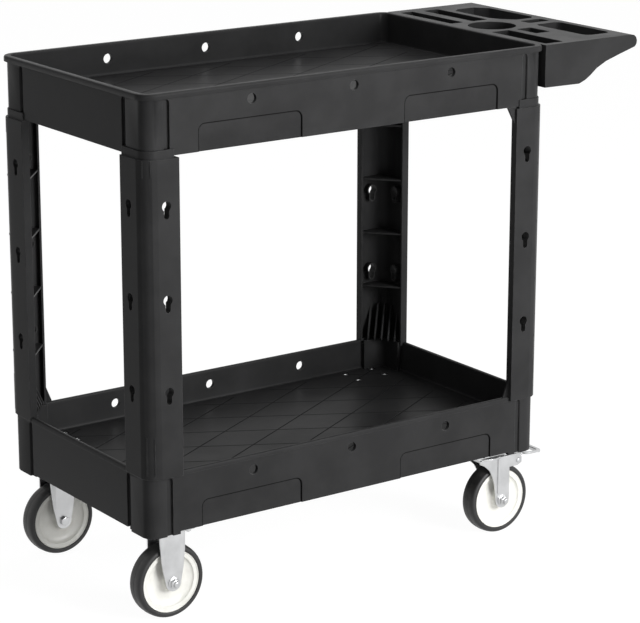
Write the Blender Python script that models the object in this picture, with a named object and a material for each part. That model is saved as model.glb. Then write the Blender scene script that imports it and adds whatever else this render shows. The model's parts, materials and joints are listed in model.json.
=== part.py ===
"""Two-shelf service trolley: moulded shelves, legs and handle tray on four casters.

Frame: +X runs from the fixed-caster end to the push handle, +Y to the far long side, +Z up.
The origin is on the floor at the middle of the whole length and width.  All sizes in metres.
A corner of a shelf is described by u and v: distances inwards from its two outer wall planes.
"""
import math

import bmesh
import bpy
from mathutils import Matrix, Vector

# --- Shelves -------------------------------------------------------------------------------
DECK_LENGTH = 0.814      # upper shelf, outer wall to outer wall
DECK_WIDTH = 0.458
LIP = 0.0055             # rim stands out beyond the upper wall
LOWER_LIP = 0.0015
LOWER_GROW_X = 0.0028    # lower shelf is larger at each end
LOWER_GROW_Y = -0.0018   # and smaller along each side
TOP_Z = 0.8994           # upper rim
LOWER_RIM_Z = 0.2686
SHELF_HEIGHT = 0.1025    # upper rim to skirt edge
LOWER_HEIGHT = 0.1055    # the same on the lower shelf
SHELF_DEPTH = 0.057      # rim to shelf floor
WALL = 0.007
FLOOR = 0.004
CORNER_R = 0.020
LIP_HEIGHT = 0.011
LOWER_LIP_HEIGHT = 0.009
FLOOR_FILLET = 0.006
HOLE_R = 0.0088
HOLE_PITCH = 0.2038
HOLE_DROP = 0.0272       # rim to hole centre
PANEL_NEAR = 0.1055      # skirt panels, from mid-length
PANEL_FAR = 0.306
PANEL_HEIGHT = 0.045
PANEL_DEPTH = 0.0020
PANEL_R = 0.012
GROOVE_U = (0.035, 0.0465)   # upright grooves beside each corner column, across the long side
GROOVE_V = (0.057, 0.0685)   # and across the end
GROOVE_DEPTH = 0.0045
RIB_T = 0.003
RIB_DROP = 0.012         # lattice under each shelf floor
RIB_PITCH = 0.165
RIB_ANGLE = math.radians(28.9)

# --- Legs ----------------------------------------------------------------------------------
LEG_PROUD = 0.0053       # leg skin beyond the upper wall plane
LEG_U = 0.0606           # reach along the long side
LEG_V = 0.0685           # reach along the end
LEG_T = 0.004
LEG_FLANGE = 0.014
LEG_TOP_GAP = 0.003      # leg shoulder below the skirt edge
COLLAR_PROUD = 0.002
COLLAR_RISE = 0.011      # collar up into the skirt notch
COLLAR_U = 0.0527
COLLAR_V = 0.068
TENON_T = 0.0035
TENON_RISE = 0.028
TENON_U = 0.049
TENON_V = 0.0565
TENON_CORNER_R = 0.016
FOOT_DROP = 0.007        # leg skin reaches below the lower rim
FOOT_TENON = 0.045
KEY_R = 0.006
KEY_SLOT = 0.0032
KEY_LENGTH = 0.026
KEY_TOP = 0.0734         # first keyhole below the upper skirt edge
KEY_PITCH = 0.1546
KEY_EDGE = 0.025         # keyhole from the leg's free edge
WEB_T = 0.003
WEB_PITCH = 0.1049
WEB_TOP = 0.1054         # first web below the upper skirt edge
FIN_T = 0.0025
FIN_COUNT = 5
FIN_FOOT = 0.065
FIN_HEAD = 0.028

# --- Handle tray ---------------------------------------------------------------------------
HANDLE_REACH = 0.2127    # beyond the upper rim
HANDLE_HALF = 0.229
HANDLE_DEPTH = 0.076
HANDLE_SKIN = 0.004
WELL_WALL = 0.003
WELL_DEPTH = 0.062
GRIP_BAR = 0.027
CUP_R = 0.0443
CUP_X = 0.0585
CUP_Y = -0.008
SCREW_Y = (-0.085, 0.0, 0.085)
SCREW_DROP = 0.0682      # screw line below the rim

# --- Casters -------------------------------------------------------------------------------
WHEEL_R = 0.065
TYRE_W = 0.033
CORE_R = 0.0543
HUB_HALF = 0.0198
HUB_R = 0.0150
AXLE_R = 0.0050
FORK_IN = 0.0205
FORK_T = 0.0028
RIGID_U = 0.0588         # rigid axle from the lower end wall
CASTER_V = 0.0445        # wheel mid-plane from the lower side wall
SWIVEL_U = 0.0800        # kingpin from the lower end wall
TRAIL = 0.026
PLATE_L = 0.084
PLATE_W = 0.062
PLATE_T = 0.003
PLATE_TOP = 0.159
BOLT_DX = 0.062          # mounting bolt spacing
BOLT_DY = 0.042
BOLT_R = 0.003
BOLT_HEAD_R = 0.006
RECESS_R = 0.0075       # round pocket in the lower floor that takes a bolt head
RECESS_DEPTH = 0.0035
NUT_R = 0.0057
BOSS_R = 0.008
CROWN_R = 0.0305
CROWN_TOP = 0.1510
PEDAL_PIN_X = 0.062      # pedal pin from the kingpin
PEDAL_PIN_Z = 0.1345
PEDAL_REACH = 0.056
PEDAL_HALF = 0.024

# --- Fits ----------------------------------------------------------------------------------
FIT = 0.0003             # touching faces
BORE = 0.0003            # radial room round pins and shanks
ROUND = 30               # sides of a wheel

# --- Derived planes ------------------------------------------------------------------------
HALF_L = DECK_LENGTH / 2
HALF_W = DECK_WIDTH / 2
SKIRT_Z = TOP_Z - SHELF_HEIGHT
FLOOR_Z = TOP_Z - SHELF_DEPTH
LOWER_SKIRT_Z = LOWER_RIM_Z - LOWER_HEIGHT
LOWER_FLOOR_Z = LOWER_RIM_Z - SHELF_DEPTH
LOWER_L = HALF_L + LOWER_GROW_X
LOWER_W = HALF_W + LOWER_GROW_Y
LOWER_GROW = max(LOWER_GROW_X, LOWER_GROW_Y)
BOLT_SEAT_Z = LOWER_FLOOR_Z - RECESS_DEPTH
BACK_END = max(HALF_L + LIP, LOWER_L - RIGID_U + WHEEL_R)
GRIP_END = HALF_L + LIP + FIT + HANDLE_REACH
DECK_X = (BACK_END - GRIP_END) / 2    # puts the origin at the middle of the whole length
LEG_SEAT_Z = LOWER_RIM_Z - FOOT_DROP
SOCKET_IN = WALL + FIT + TENON_T + FIT
SOCKET_T = 0.0045
CORNERS = {"front_left": (-1, -1), "front_right": (1, -1),
           "rear_left": (-1, 1), "rear_right": (1, 1)}

PLASTIC = ((0.036, 0.036, 0.038, 1.0), 0.42, 0.0)
RUBBER = ((0.020, 0.020, 0.021, 1.0), 0.62, 0.0)
CORE = ((0.78, 0.77, 0.71, 1.0), 0.38, 0.0)
ZINC = ((0.62, 0.63, 0.64, 1.0), 0.28, 1.0)
STEEL = ((0.55, 0.56, 0.58, 1.0), 0.32, 1.0)


# --- Small helpers -------------------------------------------------------------------------
def clear_scene():
    """Remove every object so the model starts empty."""
    for old in list(bpy.data.objects):
        bpy.data.objects.remove(old, do_unlink=True)


def material(name, recipe):
    """Return the Principled material with this colour, roughness and metallic value."""
    found = bpy.data.materials.get(name)
    if found is not None:
        return found
    made = bpy.data.materials.new(name)
    made.use_nodes = True
    shader = made.node_tree.nodes["Principled BSDF"]
    shader.inputs["Base Color"].default_value = recipe[0]
    shader.inputs["Roughness"].default_value = recipe[1]
    shader.inputs["Metallic"].default_value = recipe[2]
    return made


def as_object(name, bm):
    """Turn a bmesh into a scene object with its faces pointing out."""
    bmesh.ops.recalc_face_normals(bm, faces=bm.faces)
    mesh = bpy.data.meshes.new(name)
    bm.to_mesh(mesh)
    bm.free()
    made = bpy.data.objects.new(name, mesh)
    bpy.context.scene.collection.objects.link(made)
    return made


def loft(name, rings, closed=False):
    """Join rings of points into one skin; the ends are capped unless the loft closes."""
    bm = bmesh.new()
    rows = [[bm.verts.new(point) for point in ring] for ring in rings]
    count = len(rows[0])
    pairs = list(zip(rows, rows[1:]))
    if closed:
        pairs.append((rows[-1], rows[0]))
    for low, high in pairs:
        for i in range(count):
            j = (i + 1) % count
            bm.faces.new((low[i], low[j], high[j], high[i]))
    if not closed:
        bm.faces.new(list(reversed(rows[0])))
        bm.faces.new(rows[-1])
    return as_object(name, bm)


def prism_z(name, outline, z_low, z_high):
    """Extrude an (x, y) outline upwards."""
    return loft(name, [[(x, y, z) for x, y in outline] for z in (z_low, z_high)])


def prism_y(name, outline, y_low, y_high):
    """Extrude an (x, z) outline along Y."""
    return loft(name, [[(x, y, z) for x, z in outline] for y in (y_low, y_high)])


def prism_x(name, outline, x_low, x_high):
    """Extrude a (y, z) outline along X."""
    return loft(name, [[(x, y, z) for y, z in outline] for x in (x_low, x_high)])


def block(name, x_span, y_span, z_span):
    """A plain box between three pairs of limits."""
    (x0, x1), (y0, y1) = sorted(x_span), sorted(y_span)
    return prism_z(name, [(x0, y0), (x1, y0), (x1, y1), (x0, y1)], *z_span)


def circle(cx, cy, radius, sides, phase=0.0):
    """Points of a regular polygon round a centre."""
    step = 2 * math.pi / sides
    return [(cx + radius * math.cos(phase + step * i), cy + radius * math.sin(phase + step * i))
            for i in range(sides)]


def arc(cx, cy, radius, start, end, steps):
    """Points along an arc, angles in degrees."""
    turn = [math.radians(start + (end - start) * i / steps) for i in range(steps + 1)]
    return [(cx + radius * math.cos(a), cy + radius * math.sin(a)) for a in turn]


def rounded_rect(x0, x1, y0, y1, radius, steps=3):
    """Outline of a rectangle with round corners, counter-clockwise."""
    return (arc(x1 - radius, y0 + radius, radius, -90, 0, steps)
            + arc(x1 - radius, y1 - radius, radius, 0, 90, steps)
            + arc(x0 + radius, y1 - radius, radius, 90, 180, steps)
            + arc(x0 + radius, y0 + radius, radius, 180, 270, steps))


def boolean(target, tool, operation):
    """Apply one exact Boolean and drop its tool."""
    modifier = target.modifiers.new(operation.lower(), "BOOLEAN")
    modifier.operation = operation
    modifier.solver = "EXACT"
    modifier.object = tool
    graph = bpy.context.evaluated_depsgraph_get()
    result = bpy.data.meshes.new_from_object(target.evaluated_get(graph))
    target.modifiers.clear()
    target.data = result
    bpy.data.objects.remove(tool, do_unlink=True)
    return target


def cut(target, *tools):
    """Take each tool away from the target."""
    for tool in tools:
        boolean(target, tool, "DIFFERENCE")
    return target


def fuse(target, *tools):
    """Add each tool to the target."""
    for tool in tools:
        boolean(target, tool, "UNION")
    return target


def copy_of(name, source):
    """A second object with its own copy of the mesh."""
    made = bpy.data.objects.new(name, source.data.copy())
    bpy.context.scene.collection.objects.link(made)
    return made


def shift(obj, x=0.0, y=0.0, z=0.0):
    """Move a mesh inside its object."""
    obj.data.transform(Matrix.Translation(Vector((x, y, z))))
    return obj


def mirror_mesh(obj, sx, sy):
    """Mirror a mesh through the planes whose sign is -1, keeping its faces outward."""
    obj.data.transform(Matrix.Diagonal(Vector((sx, sy, 1.0, 1.0))))
    if sx * sy < 0:
        obj.data.flip_normals()
    return obj


def finish(obj, name, recipe_name, recipe, origin=(0.0, 0.0, 0.0), smooth=False):
    """Name the piece, give its material and put its origin where its joint or seat is."""
    obj.name = name
    obj.data.name = name
    obj.data.materials.clear()
    obj.data.materials.append(material(recipe_name, recipe))
    obj.data.transform(Matrix.Translation(-Vector(origin)))
    obj.location = origin
    if smooth:
        obj.data.shade_smooth()
        obj.data.set_sharp_from_angle(angle=math.radians(35))
    return obj


def empty(name, location):
    """An axis marker for a moving group."""
    made = bpy.data.objects.new(name, None)
    made.location = location
    made.empty_display_size = 0.03
    bpy.context.scene.collection.objects.link(made)
    return made


def hang(child, parent):
    """Parent a piece to a marker without moving it."""
    child.parent = parent
    child.location = Vector(child.location) - Vector(parent.matrix_world.translation)


# --- Shelves -------------------------------------------------------------------------------
def ring(half_l, half_w, offset, z, steps=4):
    """Rounded rectangle round the deck centre, grown outwards by the offset."""
    radius = max(CORNER_R + offset, 0.004)
    points = rounded_rect(DECK_X - half_l - offset, DECK_X + half_l + offset,
                          -half_w - offset, half_w + offset, radius, steps)
    return [(x, y, z) for x, y in points]


def shelf_shell(name, half_l, half_w, rim_z, skirt_z, lip, lip_height):
    """One skin: under the floor, down the skirt, up the wall, over the rim, into the basin."""
    floor_z = rim_z - SHELF_DEPTH
    edge = 0.003
    profile = [(-WALL, floor_z - FLOOR), (-WALL, skirt_z), (0.0, skirt_z),
               (0.0, rim_z - lip_height), (lip, rim_z - lip_height + 0.001)]
    for turn in (0, 45, 90):
        a = math.radians(turn)
        profile.append((lip - edge * (1 - math.cos(a)), rim_z - edge * (1 - math.sin(a))))
    profile.append((-WALL + edge, rim_z))
    profile.append((-WALL + edge * 0.3, rim_z - edge * 0.3))
    profile.append((-WALL, rim_z - edge))
    for turn in (0, 45, 90):
        a = math.radians(turn)
        profile.append((-WALL - FLOOR_FILLET * (1 - math.cos(a)),
                        floor_z + FLOOR_FILLET * (1 - math.sin(a))))
    return loft(name, [ring(half_l, half_w, offset, z) for offset, z in profile])


def corner_outline(points, half_l, half_w, sx, sy):
    """Carry (u, v) points to one corner of a deck."""
    return [(DECK_X + sx * (half_l - u), sy * (half_w - v)) for u, v in points]


def l_band(u0, v0, u1, v1, thickness, radius, steps=3):
    """Outline of an L-shaped strip round a corner: outer faces at u0 and v0."""
    inner = max(radius - thickness, 0.002)
    outer_arc = arc(u0 + radius, v0 + radius, radius, 270, 180, steps)
    inner_arc = arc(u0 + thickness + inner, v0 + thickness + inner, inner, 180, 270, steps)
    return ([(u1, v0)] + outer_arc + [(u0, v1), (u0 + thickness, v1)] + inner_arc
            + [(u1, v0 + thickness)])


def corner_prism(points, half_l, half_w, signs, z_low, z_high):
    """An upright prism at one corner of a deck."""
    return prism_z("tool", corner_outline(points, half_l, half_w, *signs), z_low, z_high)


def cut_side_holes(shelf, half_w, rim_z):
    """Three round holes along each long side."""
    for k in (-1, 0, 1):
        for side in (-1, 1):
            outline = circle(DECK_X + k * HOLE_PITCH, rim_z - HOLE_DROP, HOLE_R, 16)
            cut(shelf, prism_y("hole", outline, side * (half_w - 0.03), side * (half_w + 0.03)))


def cut_panels(shelf, half_w, skirt_z):
    """Two shallow panels in each long skirt, open at its lower edge."""
    for end in (-1, 1):
        x0, x1 = sorted((DECK_X + end * PANEL_NEAR, DECK_X + end * PANEL_FAR))
        top = skirt_z + PANEL_HEIGHT
        outline = ([(x0, skirt_z - 0.01), (x1, skirt_z - 0.01)]
                   + arc(x1 - PANEL_R, top - PANEL_R, PANEL_R, 0, 90, 3)
                   + arc(x0 + PANEL_R, top - PANEL_R, PANEL_R, 90, 180, 3))
        for side in (-1, 1):
            cut(shelf, prism_y("panel", outline, side * (half_w - PANEL_DEPTH),
                               side * (half_w + 0.01)))


def groove_outline(low, high, z_low, z_high):
    """Upright slot with an arched top."""
    middle, radius = (low + high) / 2, (high - low) / 2
    return [(low, z_low), (high, z_low)] + arc(middle, z_high - radius, radius, 0, 180, 4)


def cut_grooves(shelf, half_l, half_w, z_low, z_high):
    """The dark upright grooves on both sides of every corner column."""
    for sx, sy in CORNERS.values():
        along = [(DECK_X + sx * (half_l - a), z)
                 for a, z in groove_outline(*GROOVE_U, z_low, z_high)]
        across = [(sy * (half_w - a), z) for a, z in groove_outline(*GROOVE_V, z_low, z_high)]
        cut(shelf, prism_y("groove", along, sy * (half_w - GROOVE_DEPTH), sy * (half_w + 0.01)))
        cut(shelf, prism_x("groove", across, DECK_X + sx * (half_l - GROOVE_DEPTH),
                           DECK_X + sx * (half_l + 0.01)))


def lattice(half_l, half_w, z_low, z_high):
    """Diamond lattice of ribs that stiffens a shelf floor from below."""
    keep = [(x, y) for x, y, z in ring(half_l, half_w, -WALL + 0.001, 0.0)]
    frame = None
    reach = half_w / math.sin(RIB_ANGLE) + 0.02
    for lean in (-1, 1):
        for k in (-2, -1, 0, 1, 2):
            ax, ay = math.cos(RIB_ANGLE), lean * math.sin(RIB_ANGLE)
            nx, ny = -ay * RIB_T / 2, ax * RIB_T / 2
            cx = DECK_X + k * RIB_PITCH
            outline = [(cx + s * reach * ax + t * nx, s * reach * ay + t * ny)
                       for s, t in ((-1, -1), (1, -1), (1, 1), (-1, 1))]
            rib = prism_z("rib", outline, z_low, z_high)
            frame = rib if frame is None else fuse(frame, rib)
    keeper = prism_z("keep", keep, z_low - 0.01, z_high + 0.01)
    boolean(frame, keeper, "INTERSECT")
    for sx, sy in CORNERS.values():
        x_span = (DECK_X + sx * (half_l - LEG_U - 0.008), DECK_X + sx * (half_l + 0.02))
        y_span = (sy * (half_w - LEG_V - 0.004), sy * (half_w + 0.02))
        cut(frame, block("bay", x_span, y_span, (z_low - 0.02, z_high + 0.02)))
    return frame


def upper_tray():
    """Upper shelf: a rib behind each corner makes the leg socket, a notch takes the collar."""
    shelf = shelf_shell("upper", HALF_L, HALF_W, TOP_Z, SKIRT_Z, LIP, LIP_HEIGHT)
    under = FLOOR_Z - FLOOR
    fuse(shelf, lattice(HALF_L, HALF_W, under - RIB_DROP, under + 0.001))
    socket = l_band(SOCKET_IN, SOCKET_IN, LEG_U, LEG_V - 0.006, SOCKET_T, TENON_CORNER_R)
    near = SOCKET_IN - FIT
    notch = [(-0.03, -0.03), (COLLAR_U + FIT, -0.03), (COLLAR_U + FIT, near),
             (near + 0.0023, near), (near, near + 0.0023), (near, COLLAR_V + FIT),
             (-0.03, COLLAR_V + FIT)]
    for signs in CORNERS.values():
        fuse(shelf, corner_prism(socket, HALF_L, HALF_W, signs, SKIRT_Z + 0.004, under + 0.001))
        cut(shelf, corner_prism(notch, HALF_L, HALF_W, signs, SKIRT_Z - 0.01,
                                SKIRT_Z + COLLAR_RISE + FIT))
    cut_grooves(shelf, HALF_L, HALF_W, SKIRT_Z + COLLAR_RISE + FIT, TOP_Z - LIP_HEIGHT)
    cut_side_holes(shelf, HALF_W, TOP_Z)
    cut_panels(shelf, HALF_W, SKIRT_Z)
    for y in SCREW_Y:
        hole = circle(y, TOP_Z - SCREW_DROP, 0.0022 + BORE, 10)
        cut(shelf, prism_x("hole", hole, DECK_X + HALF_L - 0.02, DECK_X + HALF_L + 0.02))
    return finish(shelf, "upper_tray", "black_plastic", PLASTIC)


def caster_spots():
    """Plate centre and node suffix of each caster, fixed pair first."""
    rigid_x = DECK_X - LOWER_L + RIGID_U
    swivel_x = DECK_X + LOWER_L - SWIVEL_U
    y = LOWER_W - CASTER_V
    return {"front_left": (rigid_x, -y), "rear_left": (rigid_x, y),
            "front_right": (swivel_x, -y), "rear_right": (swivel_x, y)}


def bolt_spots(centre):
    """The four mounting bolt positions round a plate centre."""
    return [(centre[0] + a * BOLT_DX / 2, centre[1] + b * BOLT_DY / 2)
            for a, b in ((-1, -1), (1, -1), (1, 1), (-1, 1))]


def caster_pad(centre, under):
    """Four bosses tied by ribs, standing down from the lower floor to the plate."""
    low = PLATE_TOP + FIT
    half = RIB_T / 2
    side = math.copysign(1.0, centre[1])
    wall_y = side * (LOWER_W - WALL + 0.001)
    near_y = centre[1] - side * BOLT_DY / 2
    pad = None
    for a in (-1, 1):
        x = centre[0] + a * BOLT_DX / 2
        rib = block("rib", (x - half, x + half), (near_y, wall_y), (low + 0.001, under))
        pad = rib if pad is None else fuse(pad, rib)
    for b in (-1, 1):
        y = centre[1] + b * BOLT_DY / 2
        fuse(pad, block("rib", (centre[0] - BOLT_DX / 2, centre[0] + BOLT_DX / 2),
                        (y - half, y + half), (low + 0.001, under)))
    for x, y in bolt_spots(centre):
        fuse(pad, prism_z("boss", circle(x, y, BOSS_R, 8, 0.13), low, under))
    return pad


def lower_tray():
    """Lower shelf: leg sockets stand inside its corners, caster pads under its floor."""
    shelf = shelf_shell("lower", LOWER_L, LOWER_W, LOWER_RIM_Z, LOWER_SKIRT_Z, LOWER_LIP,
                        LOWER_LIP_HEIGHT)
    under = LOWER_FLOOR_Z - FLOOR
    fuse(shelf, lattice(LOWER_L, LOWER_W, under - RIB_DROP, under + 0.001))
    house = l_band(WALL - 0.001, WALL - 0.001, LEG_U, LEG_V - 0.006,
                   SOCKET_IN + SOCKET_T - WALL + 0.001, TENON_CORNER_R + 0.006)
    well = l_band(WALL, WALL, TENON_U + 0.002, TENON_V + 0.002, SOCKET_IN - WALL,
                  TENON_CORNER_R)
    rebate = LEG_FLANGE - LEG_PROUD + LOWER_GROW + FIT
    end_u, end_v = LEG_U + LOWER_GROW_X + FIT, LEG_V + LOWER_GROW_Y + FIT
    seat = [(-0.03, -0.03), (end_u, -0.03), (end_u, rebate), (rebate, rebate),
            (rebate, end_v), (-0.03, end_v)]
    post = l_band(0.0, 0.0, LEG_U, LEG_V, WALL, CORNER_R)
    for signs in CORNERS.values():
        fuse(shelf, corner_prism(house, LOWER_L, LOWER_W, signs, LOWER_FLOOR_Z - 0.001,
                                 LOWER_RIM_Z - 0.0005))
        fuse(shelf, corner_prism(post, LOWER_L, LOWER_W, signs, LOWER_SKIRT_Z - 0.005,
                                 LOWER_SKIRT_Z + 0.001))
        cut(shelf, corner_prism(well, LOWER_L, LOWER_W, signs, LEG_SEAT_Z - FOOT_TENON - 0.001,
                                LOWER_RIM_Z + 0.01))
        cut(shelf, corner_prism(seat, LOWER_L, LOWER_W, signs, LEG_SEAT_Z, LOWER_RIM_Z + 0.01))
    for centre in caster_spots().values():
        fuse(shelf, caster_pad(centre, under + 0.001))
        for x, y in bolt_spots(centre):
            cut(shelf, prism_z("hole", circle(x, y, BOLT_R + 2 * BORE, 8), PLATE_TOP - 0.01,
                               LOWER_FLOOR_Z + 0.01))
            cut(shelf, prism_z("recess", circle(x, y, RECESS_R, 8), BOLT_SEAT_Z,
                               LOWER_FLOOR_Z + 0.01))
    cut_grooves(shelf, LOWER_L, LOWER_W, LOWER_SKIRT_Z - 0.01, LEG_SEAT_Z - 0.002)
    cut_side_holes(shelf, LOWER_W, LOWER_RIM_Z)
    cut_panels(shelf, LOWER_W, LOWER_SKIRT_Z)
    return finish(shelf, "lower_tray", "black_plastic", PLASTIC)


# --- Legs ----------------------------------------------------------------------------------
def leg_channel():
    """Plan outline of the leg skin: two faces, a round corner and a turned-in edge on each."""
    p, t = -LEG_PROUD, LEG_T
    u1, v1, f = LEG_U, LEG_V, LEG_FLANGE
    radius = CORNER_R + LEG_PROUD
    outer = arc(p + radius, p + radius, radius, 270, 180, 4)
    inner = arc(p + radius, p + radius, radius - t, 180, 270, 4)
    return ([(u1, p + f), (u1, p)] + outer + [(p, v1), (p + f, v1), (p + f, v1 - t)]
            + [(p + t, v1 - t)] + inner + [(u1 - t, p + t), (u1 - t, p + f)])


def leg_inside():
    """Plan outline of the space inside a leg, as far as the line between its turned edges."""
    p, half = -LEG_PROUD, LEG_T / 2
    return [(p + half, p + half + 0.012), (p + half + 0.012, p + half), (LEG_U - half, p + half),
            (LEG_U - half, p + LEG_FLANGE - 0.002), (p + LEG_FLANGE - 0.002, LEG_V - half),
            (p + half, LEG_V - half)]


def keyhole(centre, top):
    """Keyhole outline: a round head above a narrow slot."""
    head_z = top - KEY_R
    open_angle = math.degrees(math.asin(KEY_SLOT / KEY_R))
    head = arc(centre, head_z, KEY_R, -90 + open_angle, 270 - open_angle, 8)
    foot = arc(centre, top - KEY_LENGTH + KEY_SLOT, KEY_SLOT, 180, 360, 3)
    return head + foot


def leg_fins(z_flat, z_tip):
    """Stiffening fins across the inside, full height at z_flat and running out at z_tip."""
    a = Vector((LEG_U, LEG_FLANGE - LEG_PROUD))
    b = Vector((LEG_FLANGE - LEG_PROUD, LEG_V))
    along = (b - a).normalized()
    inward = Vector((-along.y, along.x))
    if inward.dot(a) > 0:
        inward = -inward
    reach = 0.075
    fins = []
    for i in range(FIN_COUNT):
        middle = a + (b - a) * (i + 1) / (FIN_COUNT + 1)
        rings = []
        for side in (-1, 1):
            base = middle + along * side * FIN_T / 2
            deep = base + inward * reach
            tip = base + inward * 0.03
            rings.append([(base.x, base.y, z_flat), (deep.x, deep.y, z_flat),
                          (deep.x, deep.y, z_tip), (tip.x, tip.y, z_tip)])
        fins.append(loft("fin", rings))
    return fins


def leg_gusset(z_flat, z_tip, reach, y_span):
    """Small triangular stiffener beside the leg's long-side edge."""
    outline = [(LEG_U - 0.002, z_flat), (LEG_U + reach, z_flat), (LEG_U, z_tip),
               (LEG_U - 0.002, z_tip)]
    return prism_y("gusset", outline, *y_span)


def leg_blank():
    """One leg in the (u, v) corner frame: skin, webs, fins, keyholes, collar and tenons."""
    top = SKIRT_Z - LEG_TOP_GAP
    foot = LEG_SEAT_Z + FIT
    cap = 0.004
    leg = prism_z("leg", leg_channel(), foot, top)
    for k in range(3):
        key_top = SKIRT_Z - KEY_TOP - k * KEY_PITCH
        cut(leg, prism_y("key", keyhole(LEG_U - KEY_EDGE, key_top), -0.02, 0.004))
        cut(leg, prism_x("key", keyhole(LEG_V - KEY_EDGE, key_top), -0.02, 0.004))
    outline = leg_inside()
    for k in range(4):
        z = SKIRT_Z - WEB_TOP - k * WEB_PITCH
        fuse(leg, prism_z("web", outline, z - WEB_T / 2, z + WEB_T / 2))
    base = LOWER_RIM_Z + FIT
    keep = (base, top - 0.001)
    for z_flat, z_tip in ((base - 0.001, base + FIN_FOOT), (top - 0.0005, top - FIN_HEAD)):
        for fin in leg_fins(z_flat, z_tip):
            boolean(fin, prism_z("keep", outline, *keep), "INTERSECT")
            fuse(leg, fin)
    skin = l_band(-LEG_PROUD, -LEG_PROUD, LEG_U, LEG_V, LEG_PROUD + WALL + FIT + TENON_T,
                  CORNER_R + LEG_PROUD, 4)
    collar = l_band(-COLLAR_PROUD, -COLLAR_PROUD, COLLAR_U, COLLAR_V,
                    COLLAR_PROUD + WALL + FIT + TENON_T, CORNER_R + COLLAR_PROUD, 4)
    tenon = l_band(WALL + FIT, WALL + FIT, TENON_U, TENON_V, TENON_T, TENON_CORNER_R)
    down = [(u - LOWER_GROW_X, v - LOWER_GROW_Y) for u, v in tenon]
    fuse(leg, prism_z("shoulder", skin, top - cap, top))
    fuse(leg, prism_z("collar", collar, top - 0.001, SKIRT_Z + COLLAR_RISE))
    fuse(leg, prism_z("tenon", tenon, top - 0.001, SKIRT_Z + COLLAR_RISE + TENON_RISE))
    sole = l_band(-LEG_PROUD, -LEG_PROUD, LEG_U, LEG_V,
                  LEG_PROUD + WALL + FIT + TENON_T - LOWER_GROW, CORNER_R + LEG_PROUD, 4)
    fuse(leg, prism_z("foot", sole, foot, foot + FOOT_DROP + 0.002))
    fuse(leg, prism_z("tenon", down, foot - FOOT_TENON, foot + 0.001))
    return leg


def brace(leg):
    """Add the two gussets that one diagonal pair of legs carries."""
    fuse(leg, leg_gusset(SKIRT_Z - FIT, SKIRT_Z - 0.030, 0.016, (0.0, 0.004)))
    fuse(leg, leg_gusset(LOWER_RIM_Z + FIT, LOWER_RIM_Z + 0.032, 0.013, (0.001, 0.005)))
    return leg


def legs():
    """Four handed legs from one blank; front right and rear left are braced."""
    blank = leg_blank()
    braced = brace(copy_of("braced", blank))
    made = []
    for place, (sx, sy) in CORNERS.items():
        source = braced if sx * sy < 0 else blank
        leg = mirror_mesh(copy_of("leg", source), -sx, -sy)
        origin = (DECK_X + sx * HALF_L, sy * HALF_W, 0.0)
        shift(leg, *origin)
        made.append(finish(leg, "leg_" + place, "black_plastic", PLASTIC,
                           (origin[0], origin[1], LEG_SEAT_Z)))
    for source in (blank, braced):
        bpy.data.objects.remove(source, do_unlink=True)
    return made


# --- Handle tray ---------------------------------------------------------------------------
def handle_profile():
    """Side outline (distance out from the rim, height below it), sweeping up to the grip."""
    reach, depth = HANDLE_REACH, HANDLE_DEPTH
    tip = arc(reach - 0.0125, -0.0135, 0.0125, -50, 90, 5)
    return ([(0.0, -depth), (0.370 * reach, -depth - 0.001), (0.435 * reach, -0.945 * depth),
             (0.490 * reach, -0.850 * depth), (0.560 * reach, -0.700 * depth),
             (0.660 * reach, -0.565 * depth), (0.800 * reach, -0.445 * depth)]
            + tip + [(0.0, -0.001)])


def handle_wells():
    """Plan outlines (distance out, y) of the tool slots, pocket and cup holder."""
    far, near = HANDLE_HALF - 0.023, -HANDLE_HALF + 0.014
    return {
        "slot_a": rounded_rect(0.011, 0.039, 0.051, far, 0.002, 1),
        "slot_b": rounded_rect(0.061, 0.096, 0.051, far - 0.005, 0.002, 1),
        "slot_c": rounded_rect(0.011, 0.051, near, -0.0645, 0.002, 1),
        "pocket": rounded_rect(0.069, 0.102, -0.120, -0.0645, 0.002, 1),
        "cup": circle(CUP_X, CUP_Y, CUP_R, 28),
    }


def handle_grips():
    """Plan outlines of the openings that go right through behind the grip bar."""
    out = HANDLE_REACH - GRIP_BAR
    return {
        "far_grip": [(0.139, 0.019), (out - 0.011, 0.019), (out, 0.031), (out, 0.156),
                     (out - 0.020, 0.179), (0.126, 0.179), (0.110, 0.164), (0.110, 0.0645),
                     (0.119, 0.0415)],
        "near_grip": rounded_rect(0.128, out, -0.190, -0.044, 0.013, 3),
        "middle_slot": rounded_rect(0.133, out - 0.004, -0.025, 0.003, 0.003, 1),
    }


def grown(outline, amount):
    """Outline moved outwards by the same amount all round (counter-clockwise points)."""
    count = len(outline)
    result = []
    for i in range(count):
        before, here, after = (Vector(outline[j % count]) for j in (i - 1, i, i + 1))
        a, b = (here - before).normalized(), (after - here).normalized()
        na, nb = Vector((a.y, -a.x)), Vector((b.y, -b.x))
        mitre = (na + nb) / (1.0 + na.dot(nb))
        result.append(tuple(here + mitre * amount))
    return result


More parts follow.
